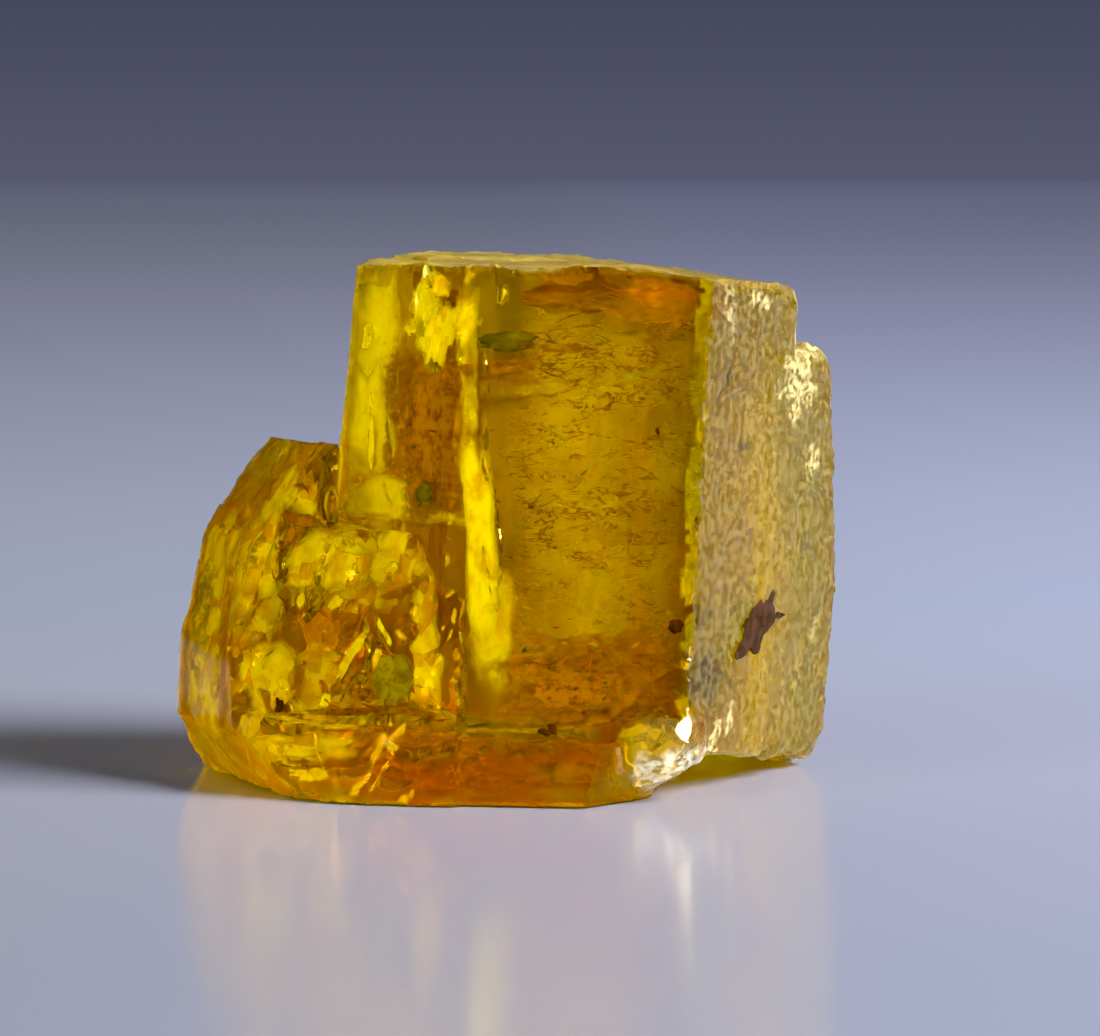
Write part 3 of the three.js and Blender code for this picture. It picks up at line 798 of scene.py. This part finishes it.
attribute("stain", smooth(np.clip(np.maximum(np.maximum(stain, np.maximum(low, top)) * blotch, 0.12 * (kinds == TOP)), 0, 1).astype(np.float32), 3))
attribute("grain", smooth(frost.astype(np.float32), 2))
attribute("dusty", smooth(dusty.astype(np.float32), 2))
attribute("golden", smooth(np.maximum(np.isin(kinds, [BACK, BACKL, BACKR, BLKB]).astype(np.float32), 1.0 * (kinds == TOP)), 3))


def gem(name, frosted):
    """the gem's body; frosted faces also carry grain, dust, milky patches (some of them painted highlight where the
    key light glares) and fine relief
    """
    mat, nd, ln = new_mat(name)
    out = nd.new("ShaderNodeOutputMaterial")
    pb = nd.new("ShaderNodeBsdfPrincipled")
    va = nd.new("ShaderNodeVolumeAbsorption")

    def attr(key_):
        n = nd.new("ShaderNodeAttribute")
        n.attribute_name = key_
        return n.outputs["Fac"]

    def M(op, a, b=None, c=None, clamp=False):
        return math_node(nd, ln, op, a, b, c, clamp)

    def step(x_, lo, hi):
        n = nd.new("ShaderNodeMapRange")
        n.interpolation_type = "SMOOTHSTEP"
        n.inputs["From Min"].default_value, n.inputs["From Max"].default_value = lo, hi
        ln.new(x_, n.inputs["Value"])
        return n.outputs[0]

    def tint(a, b, fac):
        n = nd.new("ShaderNodeMix")
        n.data_type = "RGBA"
        for socket, c in (("A", a), ("B", b)):
            if isinstance(c, tuple):
                n.inputs[socket].default_value = (*c, 1)
            else:
                ln.new(c, n.inputs[socket])
        ln.new(fac, n.inputs["Factor"])
        return n.outputs["Result"]

    # the gem's own colour, and iron stain in blotches
    colour = tint((1.0, 0.97, 0.78), (0.86, 0.42, 0.10), attr("stain"))
    pb.inputs["IOR"].default_value = 1.575
    pb.inputs["Specular Tint"].default_value = (0.93, 0.84, 0.50, 1) if frosted else (0.27, 0.17, 0.01, 1)
    if not frosted:
        ln.new(tint(colour, (1.0, 0.94, 0.22), attr("golden")), pb.inputs["Base Color"])
        ln.new(M("SUBTRACT", 1.0, attr("milk")), pb.inputs["Transmission Weight"])
        ln.new(attr("rough"), pb.inputs["Roughness"])
    else:
        obj = nd.new("ShaderNodeTexCoord").outputs["Object"]

        def grain(scale, detail, rough, offset=(0, 0, 0)):
            """noise over the stone; scale in waves per metre along x, y, z"""
            mp = nd.new("ShaderNodeMapping")
            mp.inputs["Scale"].default_value = scale
            mp.inputs["Location"].default_value = offset
            ln.new(obj, mp.inputs["Vector"])
            n = nd.new("ShaderNodeTexNoise")
            n.inputs["Scale"].default_value = 1.0
            n.inputs["Detail"].default_value = detail
            n.inputs["Roughness"].default_value = rough
            ln.new(mp.outputs[0], n.inputs["Vector"])
            return n.outputs["Fac"]

        rgrain, dust = attr("grain"), attr("dusty")
        fine = grain((3600, 3600, 4600), 3.0, 0.65)
        ragged = grain((1000, 1000, 1050), 3.0, 0.65, (4.0, 4.0, 4.0))
        dull = tint(tint(colour, (1.0, 0.79, 0.17), attr("golden")), (0.65, 0.555, 0.24), dust)
        dirt = M("MULTIPLY", step(M("ADD", M("MULTIPLY", fine, 0.7), M("MULTIPLY", ragged, 0.3)), 0.50, 0.62), M("MULTIPLY", dust, 0.40))
        ln.new(tint(dull, (0.52, 0.38, 0.18), dirt), pb.inputs["Base Color"])
        # painted highlight: the glare patches turn the surface milky white where the key light glares, on top of the
        # real frost
        glare_frost_mask = M("MULTIPLY", step(M("ADD", attr("glare_frost"), M("MULTIPLY", M("SUBTRACT", ragged, 0.5), 1.5)), 0.25, 0.70), step(attr("glare_frost"), 0.02, 0.25))
        speck = M("MULTIPLY", step(fine, 0.58, 0.38), M("MULTIPLY", rgrain, 0.095))
        patchy = step(grain((420, 420, 190), 4.0, 0.62, (7.0, 7.0, 7.0)), 0.34, 0.62)
        milk = M("ADD", M("MULTIPLY", attr("milk"), M("ADD", M("MULTIPLY", M("MULTIPLY", patchy, attr("golden")), 0.9), M("SUBTRACT", 1.0, M("MULTIPLY", attr("golden"), 0.5)))), M("ADD", M("MULTIPLY", M("MULTIPLY", glare_frost_mask, 0.55), step(fine, 0.66, 0.36)), speck), clamp=True)
        ln.new(M("SUBTRACT", 1.0, milk), pb.inputs["Transmission Weight"])
        ln.new(M("ADD", attr("rough"), M("MULTIPLY", M("SUBTRACT", ragged, 0.5), M("MULTIPLY", rgrain, 0.55)), clamp=True), pb.inputs["Roughness"])
        streak = grain((2600, 2600, 200), 1.0, 0.6, (1.0, 1.0, 1.0))
        bp = nd.new("ShaderNodeBump")
        bp.inputs["Strength"].default_value = 1.0
        bp.inputs["Distance"].default_value = 0.001
        ln.new(M("MULTIPLY", rgrain, M("ADD", M("MULTIPLY", fine, 0.010), M("MULTIPLY", streak, 0.0006))), bp.inputs["Height"])
        ln.new(bp.outputs[0], pb.inputs["Normal"])
    va.inputs["Color"].default_value = (0.99, 0.963, 0.0, 1)
    va.inputs["Density"].default_value = 560.0
    ln.new(pb.outputs[0], out.inputs["Surface"])
    ln.new(va.outputs[0], out.inputs["Volume"])
    return mat


me.materials.append(gem("heliodor_clear", False))
me.materials.append(gem("heliodor_frosted", True))
# a face belongs to the frosted skin as soon as one of its corners does
gv = np.empty(len(me.vertices), np.float32)
me.attributes["grain"].data.foreach_get("value", gv)
dv = np.empty(len(me.vertices), np.float32)
me.attributes["glare_frost"].data.foreach_get("value", dv)
lv = np.empty(len(me.loops), np.int32)
me.loops.foreach_get("vertex_index", lv)
ls = np.empty(len(me.polygons), np.int32)
me.polygons.foreach_get("loop_start", ls)
me.polygons.foreach_set("material_index", (np.maximum.reduceat(np.maximum(gv, dv)[lv], ls) > 0.001).astype(np.int32))
me.update()
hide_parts("heliodor_crystal")
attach(stone, "root")

# =====================================================================================
# 4. What is sealed in the stone
# =====================================================================================


def plates(name, colour, specs, alpha, rough=0.6, cell=900.0, cut=(0.36, 0.60), flat=2.0, dark=(0.55, 0.42, 0.35), curl=0.06, wavy=0.05, facets=0.0):
    """thin ragged plates inside the stone; colour is mottled and fades out to each rim"""
    vs, ts, qs, rim, n0 = [], [], [], [], 0
    for k, (c, az, el_, tn, a, b, amt, *sq) in enumerate(specs):
        cv, ct, cq = crack(c, az, el_, tn, a, b, curl, wavy, 1000 + 37 * k + len(specs), 9, 30, 0.008, sq[0] if sq else 2.0, 0.0)
        m = len(cv) // 2
        r = np.concatenate([[0.0], np.repeat(np.linspace(0, 1, 10)[1:], 30)])
        vs.append(cv); ts.append(ct[:, ::-1] + n0); qs.append(cq[:, ::-1] + n0)
        rim.append(np.tile(np.clip((1 - r) * 2.6, 0, 1) * amt, 2))
        n0 += len(cv)
    ob = make_mesh(name, np.concatenate(vs), [(4, np.concatenate(qs)), (3, np.concatenate(ts))])
    ob.data.shade_smooth()
    at = ob.data.attributes.new("rim", "FLOAT", "POINT")
    at.data.foreach_set("value", np.concatenate(rim).astype(np.float32))
    m_, n_, l_ = new_mat(name)
    o_ = n_.new("ShaderNodeOutputMaterial")
    b_ = n_.new("ShaderNodeBsdfPrincipled")
    tc_ = n_.new("ShaderNodeTexCoord")

    def cloud(scale, stretch, detail, shift=0.0, distort=0.0):
        mp = n_.new("ShaderNodeMapping")
        mp.inputs["Scale"].default_value = (1.0, 1.0, stretch)
        mp.inputs["Location"].default_value = (shift, shift, shift)
        l_.new(tc_.outputs["Object"], mp.inputs["Vector"])
        ns = n_.new("ShaderNodeTexNoise")
        ns.inputs["Scale"].default_value = scale
        ns.inputs["Detail"].default_value = detail
        ns.inputs["Roughness"].default_value = 0.64
        ns.inputs["Distortion"].default_value = distort
        l_.new(mp.outputs[0], ns.inputs["Vector"])
        return ns.outputs["Fac"]

    def step(x_, lo, hi):
        n = n_.new("ShaderNodeMapRange")
        n.interpolation_type = "SMOOTHSTEP"
        n.inputs["From Min"].default_value, n.inputs["From Max"].default_value = lo, hi
        l_.new(x_, n.inputs["Value"])
        return n.outputs[0]

    ra = n_.new("ShaderNodeAttribute")
    ra.attribute_name = "rim"
    if facets:
        # fracture facets: each small angular cell has its own tone and its own share of cover
        mpf = n_.new("ShaderNodeMapping")
        mpf.inputs["Scale"].default_value = (1.0, 1.0, 0.8)
        mpf.inputs["Rotation"].default_value = (0.3, 0.5, 0.4)
        l_.new(tc_.outputs["Object"], mpf.inputs["Vector"])
        vo = n_.new("ShaderNodeTexVoronoi")
        vo.inputs["Scale"].default_value = facets
        l_.new(mpf.outputs[0], vo.inputs["Vector"])
        sp_ = n_.new("ShaderNodeSeparateColor")
        l_.new(vo.outputs["Color"], sp_.inputs[0])
    if cut is None:
        # fine winding lines, broken up into patches
        wave = cloud(cell, flat, 2.0, 0.0, 0.8)
        line = step(math_node(n_, l_, "ABSOLUTE", math_node(n_, l_, "SUBTRACT", wave, 0.5)), 0.040, 0.010)
        where = step(cloud(cell * 0.30, flat * 0.8, 3.0, 3.0), 0.43, 0.58)
        cover = math_node(n_, l_, "MULTIPLY", line, where)
    else:
        grit = cloud(cell, flat, 4.0)
        if facets:
            grit = math_node(n_, l_, "ADD", math_node(n_, l_, "MULTIPLY", grit, 0.62), math_node(n_, l_, "MULTIPLY_ADD", sp_.outputs[1], 0.36, 0.01))
        cover = step(math_node(n_, l_, "ADD", grit, math_node(n_, l_, "MULTIPLY_ADD", ra.outputs["Fac"], 0.30, -0.15)), cut[0], cut[1])
    al = math_node(n_, l_, "MULTIPLY", math_node(n_, l_, "MULTIPLY", cover, ra.outputs["Fac"]), alpha, clamp=True)
    l_.new(al, b_.inputs["Alpha"])
    mx_ = n_.new("ShaderNodeMix")
    mx_.data_type = "RGBA"
    mx_.inputs["A"].default_value = (*colour, 1)
    mx_.inputs["B"].default_value = (*[q_ * w_ for q_, w_ in zip(colour, dark)], 1)
    tone = step(cloud(cell * 1.7, flat * 0.7, 4.0, 2.0), 0.40, 0.66)
    if facets:
        tone = math_node(n_, l_, "ADD", math_node(n_, l_, "MULTIPLY", tone, 0.5), math_node(n_, l_, "MULTIPLY", step(sp_.outputs[0], 0.35, 0.95), 0.75), clamp=True)
    l_.new(tone, mx_.inputs["Factor"])
    l_.new(mx_.outputs["Result"], b_.inputs["Base Color"])
    b_.inputs["Roughness"].default_value = rough
    b_.inputs["IOR"].default_value = 1.1
    l_.new(b_.outputs[0], o_.inputs["Surface"])
    ob.data.materials.append(m_)
    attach(ob, "root")
    return ob


# milky veils that glow where the light strikes them: (centre, azimuth, rise, turn, a, b, strength, squareness)
plates("veil_haze", (1.0, 0.84, 0.07), [
    ((2.65, -2.60, 8.4), -8, 2, 90, 7.4, 3.05, 1.0, 7.0),
], 0.28, 0.7, 420.0, (0.10, 0.80), 1.6, (0.80, 0.66, 0.5))
plates("veil_gold", (1.0, 0.84, 0.08), [
    ((-3.23, -0.54, 12.96), -40, 2, 92, 2.28, 1.44, 1.0, 5.0),
    ((-3.45, -0.72, 10.41), -40, 2, 92, 1.77, 1.29, 1.0, 5.0),
    ((-2.35, -1.98, 8.21), -40, 4, 3, 2.83, 0.74, 1.0, 4.0),
], 0.96, 0.6, 1300.0, (0.24, 0.54), 1.3, (0.92, 0.82, 0.6))
plates("veil_amber", (1.0, 0.78, 0.055), [
    ((-6.88, -0.96, 6.8), -34, 14, 98, 1.81, 0.89, 1.0, 3.0),
    ((-6.20, -0.35, 8.10), -42, 14, 60, 1.10, 0.80, 1.0, 3.0),
    ((-5.53, -0.99, 7.90), -34, 14, 60, 0.95, 0.55, 1.0, 3.0),
    ((-8.18, 1.92, 6.09), -50, 10, 111, 1.89, 1.0, 1.0, 3.0),
    ((-1.95, -4.35, 14.40), -40, 2, 0, 0.95, 0.34, 1.0, 3.0),
    ((-4.61, -1.1, 6.28), -34, 12, -2, 3.53, 1.72, 0.8, 3.0),
    ((-6.46, -0.36, 6.25), -36, 14, 89, 2.59, 1.31, 0.9, 3.0),
    ((-4.83, -2.14, 6.45), -34, 14, 8, 1.79, 1.06, 1.1, 2.5),
    ((-3.05, -3.07, 6.51), -30, 12, -6, 1.53, 0.85, 0.9),
    ((-6.79, -2.13, 2.76), -34, 14, 86, 1.70, 1.14, 0.9),
    ((-5.67, -3.36, 1.33), -34, 14, 4, 2.08, 0.46, 0.9, 3.0),
    ((-4.62, -2.49, 2.73), -30, 12, 3, 2.03, 1.43, 0.7, 3.0),
    ((-2.04, -4.44, 4.39), -28, 12, 98, 2.27, 0.52, 0.9, 3.0),
    ((-8.13, 1.63, 5.22), -50, 10, 87, 2.62, 1.29, 0.9, 3.0),
    ((-8.4, 0.79, 2.49), -50, 6, 84, 1.47, 1.52, 0.9, 3.0),
], 0.96, 0.6, 1500.0, (0.34, 0.50), 1.3, (0.74, 0.45, 0.22), facets=2600.0)
plates("veil_bright", (1.0, 0.84, 0.10), [
    ((-1.84, -3.17, 13.91), -40, 6, 62, 0.73, 0.81, 1.0, 2.4),
    ((-1.38, -3.93, 12.97), -40, 6, 49, 1.25, 0.85, 1.1, 2.6),
    ((-2.15, -2.92, 13.2), -40, 6, 14, 0.71, 0.31, 1.0),
    ((-3.5, -1.22, 9.72), -35, 4, 89, 0.85, 0.19, 1.2),
    ((-3.06, -3.49, 6.35), -30, 12, 2, 0.30, 0.20, 1.5),
    ((-5.67, -2.18, 5.34), -30, 12, 74, 0.26, 0.17, 1.5),
    ((-4.71, -2.84, 5.31), -30, 12, 30, 0.28, 0.19, 1.5),
    ((-4.44, -2.5, 6.92), -30, 12, -15, 0.89, 0.28, 1.0),
    ((-5.27, -4.09, 0.67), -30, 12, 7, 0.80, 0.23, 1.2, 3.0),
    ((-5.71, -3.59, 1.29), -30, 12, 0, 1.09, 0.20, 1.0, 3.0),
    ((-4.19, -3.52, 3.9), -30, 12, 60, 0.97, 0.17, 1.3, 3.0),
    ((-3.22, -3.94, 4.64), -30, 12, -52, 0.50, 0.09, 1.2, 3.0),
    ((-4.95, -3.42, 2.62), -30, 12, 30, 0.31, 0.25, 1.3),
], 0.92, 0.6, 2200.0, (0.42, 0.56), 1.0, (0.80, 0.60, 0.4), facets=4200.0)
plates("veil_strip", (1.0, 0.83, 0.10), [
    ((-0.95, -5.00, 12.2), 10, 2, 90, 2.6, 0.26, 0.48, 5.0),
    ((-0.70, -4.90, 7.4), 12, 2, 90, 3.4, 0.55, 1.0, 4.0),
    ((-0.35, -4.80, 4.8), 12, 2, 90, 1.8, 0.80, 0.6, 3.0),
], 0.86, 0.6, 1300.0, (0.30, 0.62), 0.8, (0.80, 0.60, 0.35))
plates("veil_rust", (0.43, 0.175, 0.014), [
    ((1.49, -5.34, 14.09), 4, 2, -4, 1.22, 0.17, 0.8),
    ((3.01, -5.23, 13.7), 4, 2, -12, 0.67, 0.12, 0.8),
    ((0.24, -5.46, 12.21), 4, 2, 8, 1.11, 0.25, 0.9),
    ((1.49, -5.34, 12.68), 4, 2, -4, 1.28, 0.17, 0.9),
    ((2.59, -4.87, 4.25), 4, 2, 6, 1.96, 0.73, 0.8),
    ((3.7, -4.65, 3.4), 4, 2, 9, 1.12, 0.67, 0.9),
    ((0.92, -5.05, 4.55), 4, 2, -20, 1.23, 0.39, 0.7),
    ((2.45, -4.80, 3.55), 4, 2, 4, 2.75, 1.25, 1.25, 4.0),
    ((2.10, -4.60, 2.75), 4, 2, 0, 2.60, 0.75, 1.3, 4.0),
    ((-6.78, -1.01, 6.66), -34, 14, 93, 2.19, 0.79, 0.6, 3.0),
    ((-4.37, -3.12, 4.39), -34, 14, 63, 0.69, 0.35, 1.2),
    ((-3.87, -3.97, 2.81), -34, 14, 4, 0.55, 0.34, 1.2),
    ((-2.57, -4.26, 4.61), -34, 14, 30, 0.50, 0.38, 1.1),
    ((-7.42, -2.13, 2.26), -34, 14, 88, 0.80, 0.36, 1.1),
    ((-3.8, -4.28, 2.37), -34, 14, 4, 2.60, 0.14, 1.3, 3.0),
    ((-0.68, -5.35, 0.94), -9, 2, 1, 3.39, 0.67, 1.0, 3.0),
    ((2.66, -5.78, 1.14), -9, 2, 1, 1.68, 0.61, 1.0, 3.0),
    ((-2.35, -5.24, 1.89), -9, 4, 1, 2.54, 0.39, 0.9, 3.0),
    ((-2.2, -1.6, 10.4), -20, 4, 90, 2.6, 1.00, 0.9, 4.0),
], 0.60, 0.6, 2100.0, (0.40, 0.68), 1.8, (0.50, 0.38, 0.5))
plates("veil_orange", (0.80, 0.30, 0.014), [
    ((4.30, -4.95, 14.15), 4, 2, -12, 1.40, 0.50, 0.9),
    ((4.45, -4.80, 13.55), 4, 2, -50, 0.80, 0.50, 0.7),
    ((2.31, -5.06, 14.52), 4, 2, -3, 2.60, 0.22, 0.5),
], 0.40, 0.6, 1300.0, (0.34, 0.84), 1.4, (0.70, 0.50, 0.45))
plates("veil_brown", (0.50, 0.210, 0.026), [
    ((-1.55, -3.49, 10.01), -40, 2, 92, 2.80, 1.39, 1.1, 6.0),
    ((-1.4, -3.16, 9.99), -40, 2, 92, 2.58, 1.20, 1.0, 6.0),
    ((-5.78, -1.51, 7.57), -34, 14, -10, 0.86, 0.23, 1.3),
    ((-6.07, -1.46, 7.13), -34, 14, 82, 0.40, 0.18, 1.3),
    ((-4.36, -3.51, 3.18), -34, 14, 52, 0.88, 0.34, 0.9),
    ((3.71, -4.85, 4.25), 4, 2, 20, 1.12, 0.39, 0.8),
    ((3.38, -4.88, 3.13), 4, 2, 60, 0.95, 0.56, 0.8),
], 0.74, 0.7, 1900.0, (0.36, 0.62), 1.3, (0.55, 0.38, 0.3))
plates("veil_olive_and_edge_shade", (0.42, 0.36, 0.030), [
    # painted shade: this long thin olive plate along the right edge of the wide front face darkens the band beside
    # that edge; the other plates here are olive veils
    ((5.20, -5.02, 9.2), 6, 0, 90, 5.00, 0.30, 0.5, 5.0),
    ((-2.95, -4.06, 3.27), -30, 12, 98, 0.91, 0.87, 1.2, 3.0),
    ((-8.62, 1.72, 4.36), -50, 10, 92, 1.75, 0.87, 0.55, 3.0),
    ((-1.85, -3.48, 8.46), -40, 2, 3, 0.56, 0.28, 1.2),
    ((3.71, -5.2, 11.92), 4, 2, 8, 0.72, 0.17, 0.7),
], 0.78, 0.6, 1500.0, (0.34, 0.66), 1.2)
# the fine winding marks just under the wide front face
plates("veil_marks", (0.24, 0.095, 0.012), [
    ((2.62, -5.28, 9.4), 6, 0, 90, 4.90, 2.75, 1.0, 7.0),
], 0.95, 0.6, 1700.0, None, 2.6, (0.7, 0.6, 0.5), 0.0, 0.02)


def threads(name, colour, groups, seed):
    """fine wavy channels and flakes just under a flat face, each a closed flattened thread.
    group: (plane index, count, x range, z range, depth range, length range, width range, slope, spread, bend)"""
    r = np.random.default_rng(seed)
    vs, fs, n0 = [], [], 0
    for (az, el_, lean_, pt), count_, xs, zs, ds, ls_, ws, slope, spread, bend in groups:
        n = normal(az, el_, lean_)
        d = float(n @ np.array(pt))
        u = np.cross([0.0, 0.0, 1.0], n); u /= np.linalg.norm(u)
        w = np.cross(n, u)
        for _ in range(count_):
            x0, z0 = r.uniform(*xs), (zs(r) if callable(zs) else r.uniform(*zs))
            if callable(zs):
                z0 -= 0.12 * (x0 - 2.0)
            c = np.array([x0, (d - n[0] * x0 - n[2] * z0) / n[1], z0]) - n * r.uniform(*ds)
            L = r.uniform(*ls_) ** 1.0
            k = max(5, int(L / 0.09))
            th = math.radians(slope + r.normal(0, spread)) + np.cumsum(r.normal(0, bend, k))
            st_ = L / k
            P = np.cumsum(np.stack([np.cos(th), np.sin(th)], 1) * st_, 0)
            P -= P.mean(0)
            t = np.linspace(0, 1, k)
            wd = r.uniform(*ws) * (np.sin(math.pi * np.clip(t, 0.04, 0.96)) ** 0.6) * (1 + 0.45 * r.uniform(-1, 1, k))
            mid = c + P[:, :1] * u + P[:, 1:] * w + (r.normal(0, 0.012, k).cumsum())[:, None] * n
            if (field(mid[[0, k // 2, -1]] + SHIFT) > -0.10).any():
                continue
            sn, cs = -np.sin(th), np.cos(th)
            across = sn[:, None] * u + cs[:, None] * w
            ring = np.stack([mid + across * wd[:, None], mid + n * wd[:, None] * 0.5, mid - across * wd[:, None], mid - n * wd[:, None] * 0.5], 1)
            V = np.concatenate([ring.reshape(-1, 3), mid[:1] - (mid[1:2] - mid[:1]) * 0.4, mid[-1:] + (mid[-1:] - mid[-2:-1]) * 0.4]) + SHIFT
            F_ = []
            for i in range(k - 1):
                for j in range(4):
                    a_, b_ = 4 * i + j, 4 * i + (j + 1) % 4
                    F_.append((a_, b_, b_ + 4)); F_.append((a_, b_ + 4, a_ + 4))
            for j in range(4):
                F_.append((4 * k, (j + 1) % 4, j)); F_.append((4 * k + 1, 4 * (k - 1) + j, 4 * (k - 1) + (j + 1) % 4))
            vs.append(V); fs.append(np.array(F_)[:, ::-1] + n0); n0 += len(V)
    ob = make_mesh(name, np.concatenate(vs), [(3, np.concatenate(fs))])
    ob.data.shade_smooth()
    m_, n_, l_ = new_mat(name)
    o_ = n_.new("ShaderNodeOutputMaterial")
    b_ = n_.new("ShaderNodeBsdfPrincipled")
    b_.inputs["Base Color"].default_value = (*colour, 1)
    b_.inputs["Roughness"].default_value = 0.6
    l_.new(b_.outputs[0], o_.inputs["Surface"])
    ob.data.materials.append(m_)
    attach(ob, "root")
    return ob


ON_FRONT = (F0, 0, C, (5.52, -5.40, 10.1))
ON_LEFT = (-57, 1.8, W, (-1.20, -5.81, 14.0))
ON_BLOCK = (-34, 15, W, (-4.34, -5.43, 0.0))
threads("channels_brown", (0.20, 0.085, 0.012), [
    (ON_FRONT, 60, (0.2, 5.35), (9.3, 12.4), (0.14, 0.40), (0.12, 0.50), (0.010, 0.020), 0, 13, 0.22),
    (ON_FRONT, 60, (0.2, 5.3), lambda r: r.normal(8.9, 0.42), (0.14, 0.45), (0.2, 0.8), (0.012, 0.026), -8, 10, 0.20),
    (ON_FRONT, 24, (0.3, 5.2), (4.4, 8.2), (0.14, 0.40), (0.10, 0.40), (0.010, 0.020), 0, 16, 0.25),
    (ON_FRONT, 40, (0.3, 5.3), (5.0, 13.0), (0.12, 0.40), (0.05, 0.12), (0.014, 0.030), 0, 50, 0.4),
    (ON_FRONT, 16, (1.4, 5.2), (12.2, 14.2), (0.14, 0.40), (0.3, 1.0), (0.010, 0.022), -6, 10, 0.2),
    (ON_LEFT, 14, (-2.9, -1.4), (8.2, 12.4), (0.8, 1.8), (0.12, 0.4), (0.010, 0.024), 10, 25, 0.3),
    (ON_BLOCK, 14, (-5.2, -2.2), (2.4, 5.0), (0.6, 1.8), (0.12, 0.5), (0.010, 0.026), 20, 25, 0.3),
], 5)
threads("channels_rust", (0.24, 0.060, 0.010), [
    (ON_FRONT, 26, (0.3, 5.3), (11.7, 14.6), (0.2, 0.7), (0.3, 1.2), (0.012, 0.030), -6, 9, 0.18),
    (ON_FRONT, 18, (0.2, 5.2), (2.6, 5.0), (0.3, 1.0), (0.2, 0.9), (0.014, 0.036), -4, 14, 0.25),
    (ON_BLOCK, 26, (-7.6, -5.8), (4.4, 8.6), (0.3, 1.4), (0.2, 0.9), (0.012, 0.034), 78, 14, 0.25),
    (ON_BLOCK, 16, (-5.4, -1.6), (1.9, 3.4), (0.4, 1.4), (0.2, 1.0), (0.012, 0.034), -6, 10, 0.2),
    (ON_LEFT, 12, (-2.9, -1.4), (7.8, 12.4), (0.8, 2.0), (0.2, 0.7), (0.014, 0.036), 5, 20, 0.3),
], 6)


def lumps(name, colour, specs, rough=0.5):
    """small solid grains: (centre, radii, azimuth, turn, angular, seed)"""
    import bmesh
    vs, fs, n0 = [], [], 0
    for c, r, az, tn, ang, sd in specs:
        b = bmesh.new()
        bmesh.ops.create_icosphere(b, subdivisions=4, radius=1.0)
        P = np.array([q_.co[:] for q_ in b.verts])
        F_ = np.array([[q_.index for q_ in f_.verts] for f_ in b.faces])
        b.free()
        g = 1 + ang * noise(P * 1.3 + sd * 7.1, sd) + 0.5 * ang * noise(P * 3.1 + sd, sd + 1)
        P = P * g[:, None]
        n, u, w = frame_of(az, -2.9 if az == 66 else 0, tn)
        P = (P[:, :1] * r[0]) * u + (P[:, 1:2] * r[1]) * w + (P[:, 2:] * r[2]) * n
        vs.append(P + np.array(c) + SHIFT); fs.append(F_ + n0); n0 += len(P)
    ob = make_mesh(name, np.concatenate(vs), [(3, np.concatenate(fs))])
    ob.data.shade_smooth()
    m_, n_, l_ = new_mat(name)
    o_ = n_.new("ShaderNodeOutputMaterial")
    b_ = n_.new("ShaderNodeBsdfPrincipled")
    tc_ = n_.new("ShaderNodeTexCoord")
    ns = n_.new("ShaderNodeTexNoise")
    ns.inputs["Scale"].default_value = 2600.0
    ns.inputs["Detail"].default_value = 4.0
    l_.new(tc_.outputs["Object"], ns.inputs["Vector"])
    cr = n_.new("ShaderNodeValToRGB")
    cr.color_ramp.elements[0].position, cr.color_ramp.elements[0].color = 0.35, (*[q_ * 0.45 for q_ in colour], 1)
    cr.color_ramp.elements[1].position, cr.color_ramp.elements[1].color = 0.65, (*[min(1, q_ * 1.5) for q_ in colour], 1)
    l_.new(ns.outputs["Fac"], cr.inputs[0])
    l_.new(cr.outputs[0], b_.inputs["Base Color"])
    b_.inputs["Roughness"].default_value = rough
    b_.inputs["Specular IOR Level"].default_value = 0.12
    l_.new(b_.outputs[0], o_.inputs["Surface"])
    ob.data.materials.append(m_)
    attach(ob, "root")
    return ob


lumps("inclusions_dark", (0.070, 0.014, 0.004), [
    ((4.70, -5.12, 4.93), (0.20, 0.17, 0.08), 6, 20, 0.36, 3),
    ((1.10, -5.60, 2.02), (0.19, 0.10, 0.06), -5, 0, 0.5, 5),
    ((1.30, -5.60, 2.10), (0.10, 0.15, 0.05), -5, 30, 0.5, 6),
    ((0.68, -5.30, 8.27), (0.085, 0.06, 0.06), 6, 0, 0.3, 8),
    ((1.20, -5.30, 8.02), (0.045, 0.035, 0.03), 6, 0, 0.3, 9),
    ((4.20, -5.20, 10.35), (0.05, 0.11, 0.04), 6, 10, 0.4, 11),
    ((-5.50, -3.10, 1.65), (0.20, 0.10, 0.06), -25, 20, 0.5, 12),
    ((-6.30, -2.70, 2.30), (0.10, 0.22, 0.06), -25, 10, 0.5, 13),
])
# the ragged purple-brown flake under the frosted right side
lumps("flake_purple", (0.026, 0.009, 0.010), [
    ((7.150, -1.160, 4.420), (1.16, 0.58, 0.04), 66, 16, 0.36, 31),
    ((7.520, -0.420, 5.100), (0.46, 0.18, 0.035), 66, 40, 0.5, 32),
    ((7.710, 0.070, 4.710), (0.66, 0.10, 0.035), 66, 0, 0.5, 34),
    ((6.990, -1.550, 4.690), (0.56, 0.20, 0.038), 66, -1, 0.5, 35),
    ((6.690, -2.140, 3.950), (0.45, 0.2, 0.035), 66, 7, 0.6, 33),
])
lumps("inclusions_green", (0.120, 0.088, 0.014), [
    ((0.18, -5.05, 12.88), (0.72, 0.25, 0.10), 6, 3, 0.42, 24),
    ((-2.15, -4.10, 8.55), (0.30, 0.26, 0.08), -40, 20, 0.35, 22),
])
